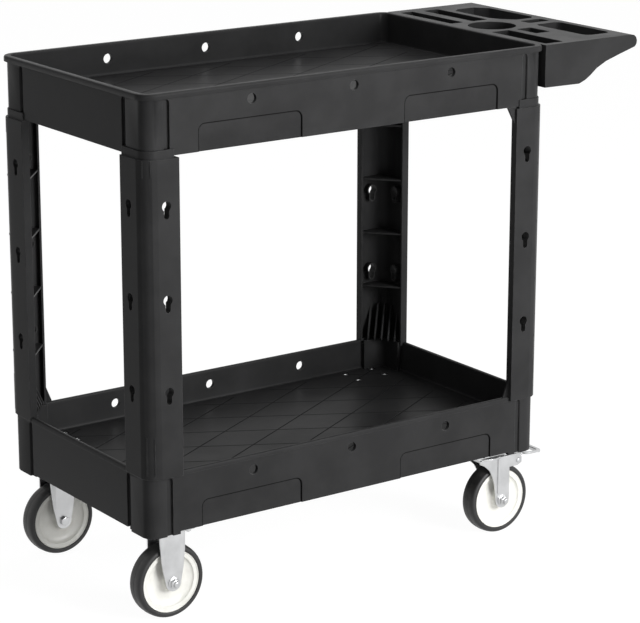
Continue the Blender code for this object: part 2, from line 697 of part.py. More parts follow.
def handle_tray():
    """Push-handle tray: a skin open underneath, wells hanging in it and a solid grip bar."""
    x0 = DECK_X + HALF_L + LIP + FIT
    body = prism_y("body", [(x0 + a, TOP_Z + b) for a, b in handle_profile()],
                   -HANDLE_HALF, HANDLE_HALF)
    inner = block("inner", (x0 + HANDLE_SKIN, x0 + HANDLE_REACH - GRIP_BAR + 0.004),
                  (-HANDLE_HALF + HANDLE_SKIN, HANDLE_HALF - HANDLE_SKIN),
                  (TOP_Z - 0.2, TOP_Z - HANDLE_SKIN))
    wells = handle_wells()
    for outline in list(wells.values()) + list(handle_grips().values()):
        wide = [(x0 + a, y) for a, y in grown(outline, WELL_WALL)]
        cut(inner, prism_z("well", wide, TOP_Z - 0.3, TOP_Z + 0.1))
    for y in SCREW_Y:
        boss = circle(y, TOP_Z - SCREW_DROP, 0.0055, 10)
        cut(inner, prism_x("boss", boss, x0 - 0.01, x0 + 0.018))
    cut(body, inner)
    for name, outline in wells.items():
        depth = 0.045 if name == "pocket" else WELL_DEPTH
        cut(body, prism_z("hollow", [(x0 + a, y) for a, y in outline], TOP_Z - depth, TOP_Z + 0.1))
    for outline in handle_grips().values():
        cut(body, prism_z("hollow", [(x0 + a, y) for a, y in outline], TOP_Z - 0.2, TOP_Z + 0.1))
    for y in SCREW_Y:
        z = TOP_Z - SCREW_DROP
        fuse(body, prism_x("foot", circle(y, z, 0.007, 12, 0.1), DECK_X + HALF_L + FIT,
                           x0 + 0.001))
        cut(body, prism_x("bore", circle(y, z, 0.0022 + BORE, 10), DECK_X + HALF_L - 0.01,
                          x0 + 0.0155))
    return finish(body, "handle_tray", "black_plastic", PLASTIC, (x0, 0.0, TOP_Z - HANDLE_DEPTH))


# --- Turned and six-sided hardware ---------------------------------------------------------
def stacked(name, sections, to_world, closed=False, sides=12):
    """Loft sections (distance along, radius, six-sided or round) of 6 or 12 points on an axis."""
    rings = []
    for along, radius, six in sections:
        points = []
        for i in range(sides):
            angle = 2 * math.pi / sides * i
            flat = radius * math.cos(math.pi / 6) if six and i % 2 else radius
            points.append(to_world(along, flat * math.cos(angle), flat * math.sin(angle)))
        rings.append(points)
    return loft(name, rings, closed)


def along_z(x, y):
    """Axis map for a piece standing at (x, y)."""
    return lambda a, p, q: (x + p, y + q, a)


def along_y(x, z, direction):
    """Axis map for a piece lying along Y."""
    return lambda a, p, q: (x + q, direction * a, z + p)


def along_x(y, z):
    """Axis map for a piece lying along X."""
    return lambda a, p, q: (a, y + p, z + q)


def mounting_bolt(name, x, y):
    """Low-headed bolt down through boss and plate, with its nut below the plate."""
    seat, plate = BOLT_SEAT_Z + FIT, PLATE_TOP - PLATE_T - FIT
    nut = plate - 0.0050
    sections = [(nut - 0.0012, BOLT_R * 0.85, False), (nut, BOLT_R, False), (nut, NUT_R, False),
                (plate, NUT_R, False), (plate, BOLT_R, False), (seat, BOLT_R, False),
                (seat, BOLT_HEAD_R, False), (seat + 0.0022, BOLT_HEAD_R * 0.94, False),
                (seat + 0.0028, BOLT_HEAD_R * 0.75, False)]
    bolt = stacked(name, sections, along_z(x, y), sides=6)
    return finish(bolt, name, "zinc", ZINC, (x, y, seat))


def handle_screw(name, y):
    """Pan-head screw from inside the skirt into the handle tray."""
    seat = DECK_X + HALF_L - WALL - FIT
    sections = [(seat - 0.0034, 0.0028, False), (seat - 0.0026, 0.0048, False),
                (seat, 0.0052, False), (seat, 0.0022, False), (seat + 0.0240, 0.0022, False),
                (seat + 0.0265, 0.0006, False)]
    screw = stacked(name, sections, along_x(y, TOP_Z - SCREW_DROP))
    return finish(screw, name, "steel", STEEL, (seat, y, TOP_Z - SCREW_DROP))


def turned_y(name, profile, centre):
    """Turn a closed (radius, y) profile round a horizontal axle."""
    cx, cy, cz = centre
    rings = []
    for i in range(ROUND):
        a = 2 * math.pi * i / ROUND
        rings.append([(cx + r * math.sin(a), cy + y, cz + r * math.cos(a)) for r, y in profile])
    return loft(name, rings, closed=True)


def both_sides(half):
    """Mirror a profile given for y > 0 so that it closes on itself."""
    return half + [(r, -y) for r, y in reversed(half)]


def tyre(name, centre):
    """Solid rubber tyre with round shoulders."""
    inner = CORE_R + FIT
    half = TYRE_W / 2
    profile = both_sides([(inner, half * 0.95), (WHEEL_R - 0.0055, half),
                          (WHEEL_R - 0.0018, half * 0.82), (WHEEL_R, half * 0.40)])
    return finish(turned_y(name, profile, centre), name, "rubber", RUBBER, centre, True)


def wheel_core(name, centre):
    """Moulded wheel centre, dished between its rim and its hub."""
    profile = both_sides([(AXLE_R + BORE, HUB_HALF), (HUB_R, HUB_HALF), (HUB_R + 0.0030, 0.0100),
                          (0.0340, 0.0060), (0.0480, 0.0130), (CORE_R, 0.0142)])
    return finish(turned_y(name, profile, centre), name, "white_core", CORE, centre, True)


def axle_bolt(name, centre, side):
    """Axle bolt: head on the inner fork leg, thread end past the nut on the outer leg."""
    face = FORK_IN + FORK_T + FIT
    sections = [(-face - 0.0055, 0.0078, True), (-face, 0.0086, True), (-face, AXLE_R, False),
                (face + 0.0105, AXLE_R, False), (face + 0.0115, AXLE_R * 0.8, False)]
    bolt = stacked(name, sections, along_y(0.0, 0.0, side))
    shift(bolt, *centre)
    return finish(bolt, name, "zinc", ZINC, centre)


def axle_nut(name, centre, side):
    """Lock nut on the outer fork leg."""
    face = FORK_IN + FORK_T + FIT
    bore = AXLE_R + BORE
    sections = [(face, bore, False), (face, 0.0105, False), (face + 0.0012, 0.0105, False),
                (face + 0.0014, 0.0090, True), (face + 0.0070, 0.0090, True),
                (face + 0.0080, 0.0068, False), (face + 0.0080, bore, False)]
    nut = stacked(name, sections, along_y(0.0, 0.0, side), closed=True)
    shift(nut, *centre)
    return finish(nut, name, "zinc", ZINC, centre)


# --- Fixed casters -------------------------------------------------------------------------
def top_plate_blank():
    """Caster plate with four bolt holes, centred on its own origin."""
    outline = rounded_rect(-PLATE_L / 2, PLATE_L / 2, -PLATE_W / 2, PLATE_W / 2, 0.006, 2)
    plate = prism_z("plate", outline, PLATE_TOP - PLATE_T, PLATE_TOP)
    for x, y in bolt_spots((0.0, 0.0)):
        cut(plate, prism_z("hole", circle(x, y, BOLT_R + 2 * BORE, 8), PLATE_TOP - 0.01,
                           PLATE_TOP + 0.01))
    return plate


def rigid_leg(side):
    """One pressed fork leg: flat middle, swept side wings, round end about the axle."""
    rings = []
    levels = ((WHEEL_R, 0.0135, 0.0012, 0.0003), (0.090, 0.0150, 0.0052, 0.0011),
              (0.120, 0.0160, 0.0078, 0.0016), (PLATE_TOP - 0.001, 0.0165, 0.0080, 0.0017))
    for z, flat, wing, back in levels:
        outer, inner = FORK_IN + FORK_T, FORK_IN
        ring_points = [(-flat - wing, outer - back), (-flat, outer), (flat, outer),
                       (flat + wing, outer - back), (flat + wing, inner - back), (flat, inner),
                       (-flat, inner), (-flat - wing, inner - back)]
        rings.append([(x, side * y, z) for x, y in ring_points])
    leg = loft("leg", rings)
    end = prism_y("end", circle(0.0, WHEEL_R, 0.0147, 20, 0.1), side * FORK_IN,
                  side * (FORK_IN + FORK_T))
    return fuse(leg, end)


def rigid_fork(name, centre):
    """Fixed fork: plate and two legs in one pressing."""
    fork = top_plate_blank()
    for side in (-1, 1):
        fuse(fork, rigid_leg(side))
    cut(fork, prism_y("bore", circle(0.0, WHEEL_R, AXLE_R + BORE, 12), -0.05, 0.05))
    shift(fork, centre[0], centre[1])
    return finish(fork, name, "zinc", ZINC, (centre[0], centre[1], PLATE_TOP))


# --- Swivel casters ------------------------------------------------------------------------
def swivel_plate(name, centre):
    """Top plate with the kingpin hole."""
    plate = top_plate_blank()
    cut(plate, prism_z("hole", circle(0.0, 0.0, 0.006 + BORE, 12), 0.1, 0.2))
    shift(plate, centre[0], centre[1])
    return finish(plate, name, "zinc", ZINC, (centre[0], centre[1], PLATE_TOP))


def kingpin(name, centre):
    """Riveted pin that holds plate, bearing and fork together."""
    under = CROWN_TOP - 0.006 - FIT
    over = PLATE_TOP + FIT
    sections = [(under - 0.0030, 0.0070, False), (under - 0.0020, 0.0095, False),
                (under, 0.0095, False), (under, 0.0060, False), (over, 0.0060, False),
                (over, 0.0085, False), (over + 0.0014, 0.0075, False)]
    pin = stacked(name, sections, along_z(*centre))
    return finish(pin, name, "steel", STEEL, (centre[0], centre[1], CROWN_TOP))


def bearing_ring(name, centre):
    """Ball race ring between the plate and the fork crown."""
    low, high = CROWN_TOP + FIT, PLATE_TOP - PLATE_T - FIT
    profile = [(0.0063, low), (0.0215, low), (0.0245, low + 0.0016), (0.0245, high),
               (0.0063, high)]
    rings = []
    for i in range(24):
        a = 2 * math.pi * i / 24
        rings.append([(centre[0] + r * math.cos(a), centre[1] + r * math.sin(a), z)
                      for r, z in profile])
    race = loft(name, rings, closed=True)
    return finish(race, name, "steel", STEEL, (centre[0], centre[1], low), True)


def swivel_leg_outline():
    """Side outline of a swivel fork leg: hollow trailing edge, straight brake edge."""
    top = CROWN_TOP - 0.003
    end = arc(TRAIL, WHEEL_R, 0.0150, -180, 0, 10)
    sweep = [(-0.0270, top), (-0.0270, top - 0.0060), (-0.0170, top - 0.0110),
             (-0.0060, top - 0.0210), (0.0020, top - 0.0350), (0.0070, top - 0.0500)]
    pin = PEDAL_PIN_Z
    ears = [(TRAIL + 0.0150, pin - 0.0090), (PEDAL_PIN_X - 0.0020, pin - 0.0090),
            (PEDAL_PIN_X + 0.0070, pin - 0.0045), (PEDAL_PIN_X + 0.0070, pin + 0.0050),
            (PEDAL_PIN_X + 0.0020, top)]
    return sweep + end + ears


def swivel_fork(name, centre):
    """Swivel fork: round crown, two cranked legs with a pressed ridge, ears for the pedal."""
    low = CROWN_TOP - 0.006
    fork = prism_z("crown", circle(0.0, 0.0, CROWN_R, 28), CROWN_TOP - 0.0035, CROWN_TOP)
    web = rounded_rect(-0.0270, TRAIL + 0.0150, -FORK_IN - FORK_T, FORK_IN + FORK_T, 0.002, 1)
    fuse(fork, prism_z("web", web, low, CROWN_TOP - 0.003))
    for side in (-1, 1):
        leg = prism_y("leg", swivel_leg_outline(), side * FORK_IN, side * (FORK_IN + FORK_T))
        ridge = [(TRAIL - 0.0125, low), (TRAIL - 0.0080, low), (TRAIL - 0.0080, 0.0780),
                 (TRAIL - 0.0125, 0.0800)]
        fuse(leg, prism_y("ridge", ridge, side * (FORK_IN + FORK_T - 0.001),
                          side * (FORK_IN + FORK_T + 0.0020)))
        fuse(fork, leg)
    cut(fork, prism_z("bore", circle(0.0, 0.0, 0.006 + BORE, 12), 0.1, 0.2))
    cut(fork, prism_y("bore", circle(TRAIL, WHEEL_R, AXLE_R + BORE, 12), -0.05, 0.05))
    cut(fork, prism_y("bore", circle(PEDAL_PIN_X, PEDAL_PIN_Z, 0.003 + BORE, 10), -0.05, 0.05))
    shift(fork, centre[0], centre[1])
    return finish(fork, name, "zinc", ZINC, (centre[0], centre[1], CROWN_TOP))


def pedal_pin(name, centre):
    """Rivet through both ears and the pedal barrel."""
    face = FORK_IN + FORK_T + FIT
    sections = [(-face - 0.0016, 0.0036, False), (-face, 0.0050, False), (-face, 0.0030, False),
                (face, 0.0030, False), (face, 0.0050, False), (face + 0.0016, 0.0036, False)]
    pin = stacked(name, sections, along_y(0.0, 0.0, 1.0))
    place = (centre[0] + PEDAL_PIN_X, centre[1], PEDAL_PIN_Z)
    shift(pin, *place)
    return finish(pin, name, "steel", STEEL, place)


def brake_pedal(name, centre):
    """Foot pedal: barrel on the pin, brake shoe towards the tyre, arm and open toe loop."""
    x, z = PEDAL_PIN_X, PEDAL_PIN_Z
    inside = FORK_IN - 0.0008
    pedal = prism_y("barrel", circle(x, z, 0.0058, 16), -inside, inside)
    shoe = [(x - 0.0028, z), (x - 0.0022, z - 0.0123), (x + 0.0022, z - 0.0123), (x + 0.0030, z)]
    fuse(pedal, prism_y("shoe", shoe, -0.0130, 0.0130))
    arm = [(x, z + 0.0050), (x, z + 0.0025), (x + 0.0110, z + 0.0040), (x + 0.0200, z + 0.0068),
           (x + 0.0200, z + 0.0092), (x + 0.0100, z + 0.0066)]
    fuse(pedal, prism_y("arm", arm, -0.0150, 0.0150))
    far = x + PEDAL_REACH
    loop = prism_z("loop", rounded_rect(x + 0.0165, far, -PEDAL_HALF, PEDAL_HALF, 0.010, 4),
                   z + 0.0066, z + 0.0092)
    cut(loop, prism_z("toe", rounded_rect(x + 0.0265, far - 0.0060, -PEDAL_HALF + 0.0060,
                                          PEDAL_HALF - 0.0060, 0.006, 3), 0.1, 0.2))
    lip = prism_z("lip", rounded_rect(far - 0.0085, far, -PEDAL_HALF + 0.004, PEDAL_HALF - 0.004,
                                      0.004, 3), z + 0.0040, z + 0.0080)
    fuse(pedal, loop, lip)
    cut(pedal, prism_y("bore", circle(x, z, 0.003 + BORE, 10), -0.05, 0.05))
    shift(pedal, centre[0], centre[1])
    return finish(pedal, name, "zinc", ZINC, (centre[0] + x, centre[1], z))


# --- Assembly ------------------------------------------------------------------------------
def add_wheel(place, axle, side, prefix):
    """Tyre and core under a marker on the axle, which is their joint's axis."""
    spin = empty("axis_wheel_" + place, axle)
    bpy.context.view_layer.update()
    for piece in (tyre(prefix + "tyre_" + place, axle),
                  wheel_core(prefix + "wheel_core_" + place, axle)):
        hang(piece, spin)
    axle_bolt(prefix + "axle_bolt_" + place, axle, side)
    axle_nut(prefix + "axle_nut_" + place, axle, side)


def build():
    """Make every piece of the trolley."""
    clear_scene()
    upper_tray()
    lower_tray()
    legs()
    handle_tray()
    for i, y in enumerate(SCREW_Y):
        handle_screw("handle_screw_%d" % (i + 1), y)
    for place, centre in caster_spots().items():
        side = math.copysign(1.0, centre[1])
        for i, (x, y) in enumerate(bolt_spots(centre)):
            mounting_bolt("caster_bolt_%s_%d" % (place, i + 1), x, y)
        if "left" in place:
            rigid_fork("rigid_fork_" + place, centre)
            add_wheel(place, (centre[0], centre[1], WHEEL_R), side, "rigid_")
        else:
            swivel_plate("swivel_plate_" + place, centre)
            kingpin("kingpin_" + place, centre)
            bearing_ring("bearing_ring_" + place, centre)
            swivel_fork("swivel_fork_" + place, centre)
            add_wheel(place, (centre[0] + TRAIL, centre[1], WHEEL_R), side, "swivel_")
            pedal_pin("pedal_pin_" + place, centre)
            brake_pedal("brake_pedal_" + place, centre)
    bpy.context.view_layer.update()


build()
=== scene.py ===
# %% [markdown]
# # A two-shelf service trolley
# This lesson dresses a trolley whose real shapes already exist as CAD solids: two deep moulded
# shelves, four corner legs, a tray that is also the push handle, and four casters.  We give each
# piece the surface that its maker would, and we rebuild the small turned parts at a finer grain,
# because a wheel drawn with thirty flats never looks like a wheel.

import contextlib
import json
import math

import bmesh
import bpy
import numpy as np
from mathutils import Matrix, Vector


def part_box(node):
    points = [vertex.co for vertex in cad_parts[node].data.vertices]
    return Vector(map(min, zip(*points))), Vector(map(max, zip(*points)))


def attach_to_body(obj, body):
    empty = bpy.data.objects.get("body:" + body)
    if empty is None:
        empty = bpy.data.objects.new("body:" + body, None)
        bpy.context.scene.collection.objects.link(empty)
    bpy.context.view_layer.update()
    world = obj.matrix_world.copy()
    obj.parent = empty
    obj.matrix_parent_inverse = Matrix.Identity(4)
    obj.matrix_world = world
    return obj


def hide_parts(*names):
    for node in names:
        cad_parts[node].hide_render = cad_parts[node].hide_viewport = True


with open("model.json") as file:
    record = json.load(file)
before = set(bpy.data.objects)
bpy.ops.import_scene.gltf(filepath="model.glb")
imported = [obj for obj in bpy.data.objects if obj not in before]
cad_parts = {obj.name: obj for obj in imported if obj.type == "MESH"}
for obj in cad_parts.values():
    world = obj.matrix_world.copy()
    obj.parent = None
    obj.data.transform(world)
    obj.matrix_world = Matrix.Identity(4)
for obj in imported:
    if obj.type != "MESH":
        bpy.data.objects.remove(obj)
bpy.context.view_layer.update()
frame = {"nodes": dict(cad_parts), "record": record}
bodies = frame["record"]["behaviour"]["bodies"]
body_of_node = {node: body for body, nodes in bodies.items() for node in nodes}

# %% [markdown]
# ## Where things are
# Every place below comes from the CAD nodes' own boxes, so nothing is fitted by eye.  The shelves
# share one middle line along X, and each wheel's centre is the middle of its tyre.

# %% Read the main places
upper_low, upper_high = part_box("upper_tray")
lower_low, lower_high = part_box("lower_tray")
shelf_middle_x = (lower_low.x + lower_high.x) / 2
shelf_depth = 0.057
upper_floor_z = upper_high.z - shelf_depth
lower_floor_z = lower_high.z - shelf_depth
corner_names = ("front_left", "front_right", "rear_left", "rear_right")
caster_kind = {name: "rigid" if "left" in name else "swivel" for name in corner_names}


def wheel_centre(corner):
    """Middle of one tyre's box, as an array (x, y, z)."""
    low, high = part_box(caster_kind[corner] + "_tyre_" + corner)
    return np.array((low + high) / 2)


def outer_side(corner):
    """+1 for casters on the far long side, -1 for the near one."""
    return 1.0 if "rear" in corner else -1.0


tyre_low, tyre_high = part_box("rigid_tyre_front_left")
core_low, core_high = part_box("rigid_wheel_core_front_left")
tyre_radius, tyre_half = (tyre_high.z - tyre_low.z) / 2, (tyre_high.y - tyre_low.y) / 2
core_radius, hub_half = (core_high.z - core_low.z) / 2, (core_high.y - core_low.y) / 2
print("tyre radius", round(tyre_radius, 4), "wheel centre radius", round(core_radius, 4))
print("wheel centres:", {corner: wheel_centre(corner).round(4) for corner in corner_names})

# %% [markdown]
# ## Shader groups shared by several finishes
# An effect used by more than one material is built once as a node group.  A tiny helper adds a
# node and sets its values, so a group reads as a short list of steps.

# %% A helper for node trees


def add(tree, kind, links=None, **settings):
    """Add one node; settings are its properties, links fill its input sockets by name or number."""
    node = tree.nodes.new(kind)
    for key, value in settings.items():
        setattr(node, key, value)
    for socket, source in (links or {}).items():
        if isinstance(source, bpy.types.NodeSocket):
            tree.links.new(source, node.inputs[socket])
        else:
            node.inputs[socket].default_value = source
    return node


def maths(tree, operation, *values):
    """One Math node; each value is a number or a socket."""
    return add(tree, "ShaderNodeMath", dict(enumerate(values)), operation=operation).outputs[0]


def new_group(name, inputs, outputs):
    """An empty shader group with float inputs (name: default) and outputs (name: socket type)."""
    group = bpy.data.node_groups.new(name, "ShaderNodeTree")
    for label, value in inputs.items():
        socket = group.interface.new_socket(label, in_out="INPUT", socket_type="NodeSocketFloat")
        socket.default_value = value
    for label, kind in outputs.items():
        group.interface.new_socket(label, in_out="OUTPUT", socket_type=kind)
    return group, group.nodes.new("NodeGroupInput").outputs, group.nodes.new("NodeGroupOutput")


def smooth_band(tree, value, low, high):
    """0 below low, 1 above high, an S curve between."""
    node = add(tree, "ShaderNodeMapRange", {"Value": value, "From Min": low, "From Max": high},
               interpolation_type="SMOOTHSTEP")
    return node.outputs[0]


# %% [markdown]
# ### Moulded grain
# The steel mould of a plastic trolley is etched, which leaves a leather-like grain well under a
# millimetre.  Two noises of different size give it: a fine one for the pebble and a coarse one
# that makes the gloss wander, as real mouldings do where the melt cooled unevenly.

# %% Build the moulded grain group


def build_grain_group():
    """Height = 0.75 * fine noise + 0.25 * finer noise; Mottle = a slow noise from 0 to 1."""
    tree, given, out = new_group("moulded_grain", {"Grain": 0.0008, "Cloud": 0.08},
                                 {"Height": "NodeSocketFloat", "Mottle": "NodeSocketFloat"})
    place = add(tree, "ShaderNodeTexCoord").outputs["Object"]
    fine = add(tree, "ShaderNodeTexNoise",
               {"Vector": place, "Scale": maths(tree, "DIVIDE", 1.0, given["Grain"]),
                "Detail": 2.0, "Roughness": 0.55})
    finer = add(tree, "ShaderNodeTexNoise",
                {"Vector": place, "Scale": maths(tree, "DIVIDE", 2.7, given["Grain"]),
                 "Detail": 1.0})
    cloud = add(tree, "ShaderNodeTexNoise",
                {"Vector": place, "Scale": maths(tree, "DIVIDE", 1.0, given["Cloud"]),
                 "Detail": 4.0, "Roughness": 0.6})
    height = maths(tree, "ADD", maths(tree, "MULTIPLY", fine.outputs[0], 0.75),
                   maths(tree, "MULTIPLY", finer.outputs[0], 0.25))
    tree.links.new(height, out.inputs["Height"])
    tree.links.new(smooth_band(tree, cloud.outputs[0], 0.32, 0.68), out.inputs["Mottle"])
    return tree


grain_group = build_grain_group()
print("made", grain_group.name)

# %% [markdown]
# ### Softened edges, edge wear and painted edge highlights
# No moulded or pressed edge is perfectly sharp, and edges are where handling polishes a surface.
# The Bevel node averages the normal near an edge.  Used as a normal it rounds the edge for the
# light, and where it disagrees with the true normal there is an edge, which makes a mask for
# wear and for a painted highlight that lightens the edges.

# %% Build the edge group


def build_edge_group():
    """Edge = 1 - (rounded normal . true normal), broken up by noise so that the wear and the painted
    highlight are uneven.
    """
    tree, given, out = new_group("soft_edge", {"Radius": 0.0012, "Amount": 1.0},
                                 {"Normal": "NodeSocketVector", "Edge": "NodeSocketFloat"})
    rounded = add(tree, "ShaderNodeBevel", {"Radius": given["Radius"]}, samples=6)
    straight = add(tree, "ShaderNodeNewGeometry").outputs["Normal"]
    match = add(tree, "ShaderNodeVectorMath", {0: rounded.outputs[0], 1: straight},
                operation="DOT_PRODUCT").outputs["Value"]
    edge = smooth_band(tree, maths(tree, "SUBTRACT", 1.0, match), 0.01, 0.16)
    place = add(tree, "ShaderNodeTexCoord").outputs["Object"]
    patch_noise = add(tree, "ShaderNodeTexNoise", {"Vector": place, "Scale": 55.0, "Detail": 4.0})
    patchy = smooth_band(tree, patch_noise.outputs[0], 0.30, 0.62)
    # This mask carries real edge wear and also a painted highlight that lightens the edges.
    wear_and_highlight = maths(tree, "MULTIPLY", maths(tree, "MULTIPLY", edge, patchy), given["Amount"])
    tree.links.new(rounded.outputs[0], out.inputs["Normal"])
    tree.links.new(wear_and_highlight, out.inputs["Edge"])
    return tree


edge_group = build_edge_group()
print("made", edge_group.name)

# %% [markdown]
# ### Sink lines on the shelf floors
# Under each floor runs a diamond lattice of ribs.  Plastic shrinks more where it is thick, so
# above every rib the top face sinks a little and a thin line shows: it is rougher and dipped by
# bump, and its darker colour is painted shade.  Two families of parallel lines make the diamonds:
# the distance to the nearest line of a family is a ping-pong of the coordinate across it.

# %% Build the sink line group
rib_slope, rib_pitch = math.radians(28.9), 0.165
line_gap, line_width = rib_pitch * math.sin(rib_slope), 0.0024
lattice_half_x, lattice_half_y = 0.372, 0.206
level_tolerance = 0.0008


def build_sink_group():
    """Mask = 1 on a line, fading over its width, kept on the floor's own level and off its rim."""
    tree, given, out = new_group("sink_lines", {"Floor": 0.0, "Middle X": 0.0},
                                 {"Mask": "NodeSocketFloat"})
    place = add(tree, "ShaderNodeTexCoord").outputs["Object"]
    split = add(tree, "ShaderNodeSeparateXYZ", {0: place}).outputs
    along = maths(tree, "SUBTRACT", split["X"], given["Middle X"])
    up_hill = maths(tree, "MULTIPLY", along, math.sin(rib_slope))
    across = maths(tree, "MULTIPLY", split["Y"], math.cos(rib_slope))
    lines = None
    for operation in ("SUBTRACT", "ADD"):
        distance = maths(tree, "PINGPONG", maths(tree, operation, up_hill, across), line_gap / 2)
        on_line = maths(tree, "SUBTRACT", 1.0,
                        smooth_band(tree, maths(tree, "DIVIDE", distance, line_width),
                                    0.30, 0.75))
        lines = on_line if lines is None else maths(tree, "MAXIMUM", lines, on_line)
    level = maths(tree, "ABSOLUTE", maths(tree, "SUBTRACT", split["Z"], given["Floor"]))
    on_floor = maths(tree, "LESS_THAN", level, level_tolerance)
    inside_x = maths(tree, "LESS_THAN", maths(tree, "ABSOLUTE", along), lattice_half_x)
    inside_y = maths(tree, "LESS_THAN", maths(tree, "ABSOLUTE", split["Y"]), lattice_half_y)
    kept = maths(tree, "MULTIPLY", on_floor, maths(tree, "MULTIPLY", inside_x, inside_y))
    tree.links.new(maths(tree, "MULTIPLY", lines, kept), out.inputs["Mask"])
    return tree


sink_group = build_sink_group()
print("made", sink_group.name, "with lines", round(line_gap, 4), "apart")

# %% [markdown]
# ### Painted shade along the panel outlines on the skirts
# Each long skirt has two shallow panels with round top corners, open at the lower edge.  The root
# of the step is a crease, and its shade is painted in as a dark line.  A rounded rectangle's
# distance function gives it: the distance is zero exactly on the outline, so the mask is the band
# where it is nearly zero.

# %% Build the group for the painted crease shade
panel_middle, panel_half = 0.20575, 0.10025
panel_height, panel_round = 0.045, 0.012
crease_core, crease_fade = 0.0007, 0.0016
panel_foot = {"upper": upper_low.z, "lower": lower_low.z + 0.005}
face_from_y = {"upper": upper_high.y - 0.012, "lower": lower_high.y - 0.008}


def build_painted_crease_group():
    """Distance = length(max(q, 0)) + min(max(qx, qz), 0) - radius, with q measured from the
    panel's inner rectangle; Mask = 1 where the distance is nearly 0 on an outer long face, which
    is where the crease's painted shade goes."""
    tree, given, out = new_group("painted_panel_crease", {"Foot": 0.0, "Middle X": 0.0, "Face Y": 0.0},
                                 {"Mask": "NodeSocketFloat"})
    place = add(tree, "ShaderNodeTexCoord").outputs["Object"]
    split = add(tree, "ShaderNodeSeparateXYZ", {0: place}).outputs
    along = maths(tree, "ABSOLUTE", maths(tree, "SUBTRACT", split["X"], given["Middle X"]))
    qx = maths(tree, "SUBTRACT", maths(tree, "ABSOLUTE",
                                       maths(tree, "SUBTRACT", along, panel_middle)),
               panel_half - panel_round)
    qz = maths(tree, "SUBTRACT", maths(tree, "SUBTRACT", split["Z"], given["Foot"]),
               panel_height - panel_round)
    over_x, over_z = maths(tree, "MAXIMUM", qx, 0.0), maths(tree, "MAXIMUM", qz, 0.0)
    length = maths(tree, "SQRT", maths(tree, "ADD", maths(tree, "MULTIPLY", over_x, over_x),
                                       maths(tree, "MULTIPLY", over_z, over_z)))
    inner = maths(tree, "MINIMUM", maths(tree, "MAXIMUM", qx, qz), 0.0)
    distance = maths(tree, "SUBTRACT", maths(tree, "ADD", length, inner), panel_round)
    off_line = smooth_band(tree, maths(tree, "ABSOLUTE", distance), crease_core,
                           crease_fade)
    on_face = maths(tree, "GREATER_THAN", maths(tree, "ABSOLUTE", split["Y"]), given["Face Y"])
    tree.links.new(maths(tree, "MULTIPLY", maths(tree, "SUBTRACT", 1.0, off_line), on_face),
                   out.inputs["Mask"])
    return tree


painted_crease_group = build_painted_crease_group()
print("made", painted_crease_group.name)

# %% [markdown]
# ## Finishes
# One function makes every finish: a base colour that a slow noise varies, a lighter or brighter
# tone on edges that is partly wear and partly a painted highlight, a roughness range, and the
# grain as bump on top of the softened edge.
# Values that don't change over the surface sit on the Principled shader's own sockets.

# %% A recipe for a finish


def mix_colour(tree, factor, first, second):
    """Blend two colours; each is a socket or an RGB triple."""
    colours = [value if isinstance(value, bpy.types.NodeSocket) else (*value, 1.0)
               for value in (first, second)]
    node = add(tree, "ShaderNodeMix", data_type="RGBA")
    for slot, value in zip((0, 6, 7), (factor, *colours)):
        if isinstance(value, bpy.types.NodeSocket):
            tree.links.new(value, node.inputs[slot])
        else:
            node.inputs[slot].default_value = value
    return node.outputs[2]


def use_group(tree, group, **values):
    """Place a shader group with its own values; underscores stand for spaces."""
    node = add(tree, "ShaderNodeGroup", node_tree=group)
    for key, value in values.items():
        node.inputs[key.replace("_", " ")].default_value = value
    return node.outputs


# The line factor darkens each sink line as painted shade; the line's dullness and dip are real.
painted_line_shade, line_dullness, line_dip = 0.45, 0.30, 6.0
# The crease factor darkens the skirt along each panel outline: painted shade in the crease.
painted_crease_shade = 0.15


def add_shelf_marks(tree, shelf, floor_z, dark, colour, rough, height):
    """Sink lines dull and lower the floor and darken it with painted shade; the panel creases only
    darken the skirt with painted shade.
    """
    line = use_group(tree, sink_group, Floor=floor_z, Middle_X=shelf_middle_x)["Mask"]
    # Each sink line is darkened as painted shade; its extra roughness and dip are real.
    colour = mix_colour(tree, line, colour, [painted_line_shade * value for value in dark])
    rough = maths(tree, "ADD", rough, maths(tree, "MULTIPLY", line, line_dullness))
    height = maths(tree, "SUBTRACT", height, maths(tree, "MULTIPLY", line, line_dip))
    # The creases are painted shade: the skirt darkens along each panel outline.
    painted_crease_mask = use_group(tree, painted_crease_group, Foot=panel_foot[shelf], Face_Y=face_from_y[shelf],
                       Middle_X=shelf_middle_x)["Mask"]
    colour = mix_colour(tree, painted_crease_mask, colour, [painted_crease_shade * value for value in dark])
    return colour, rough, height


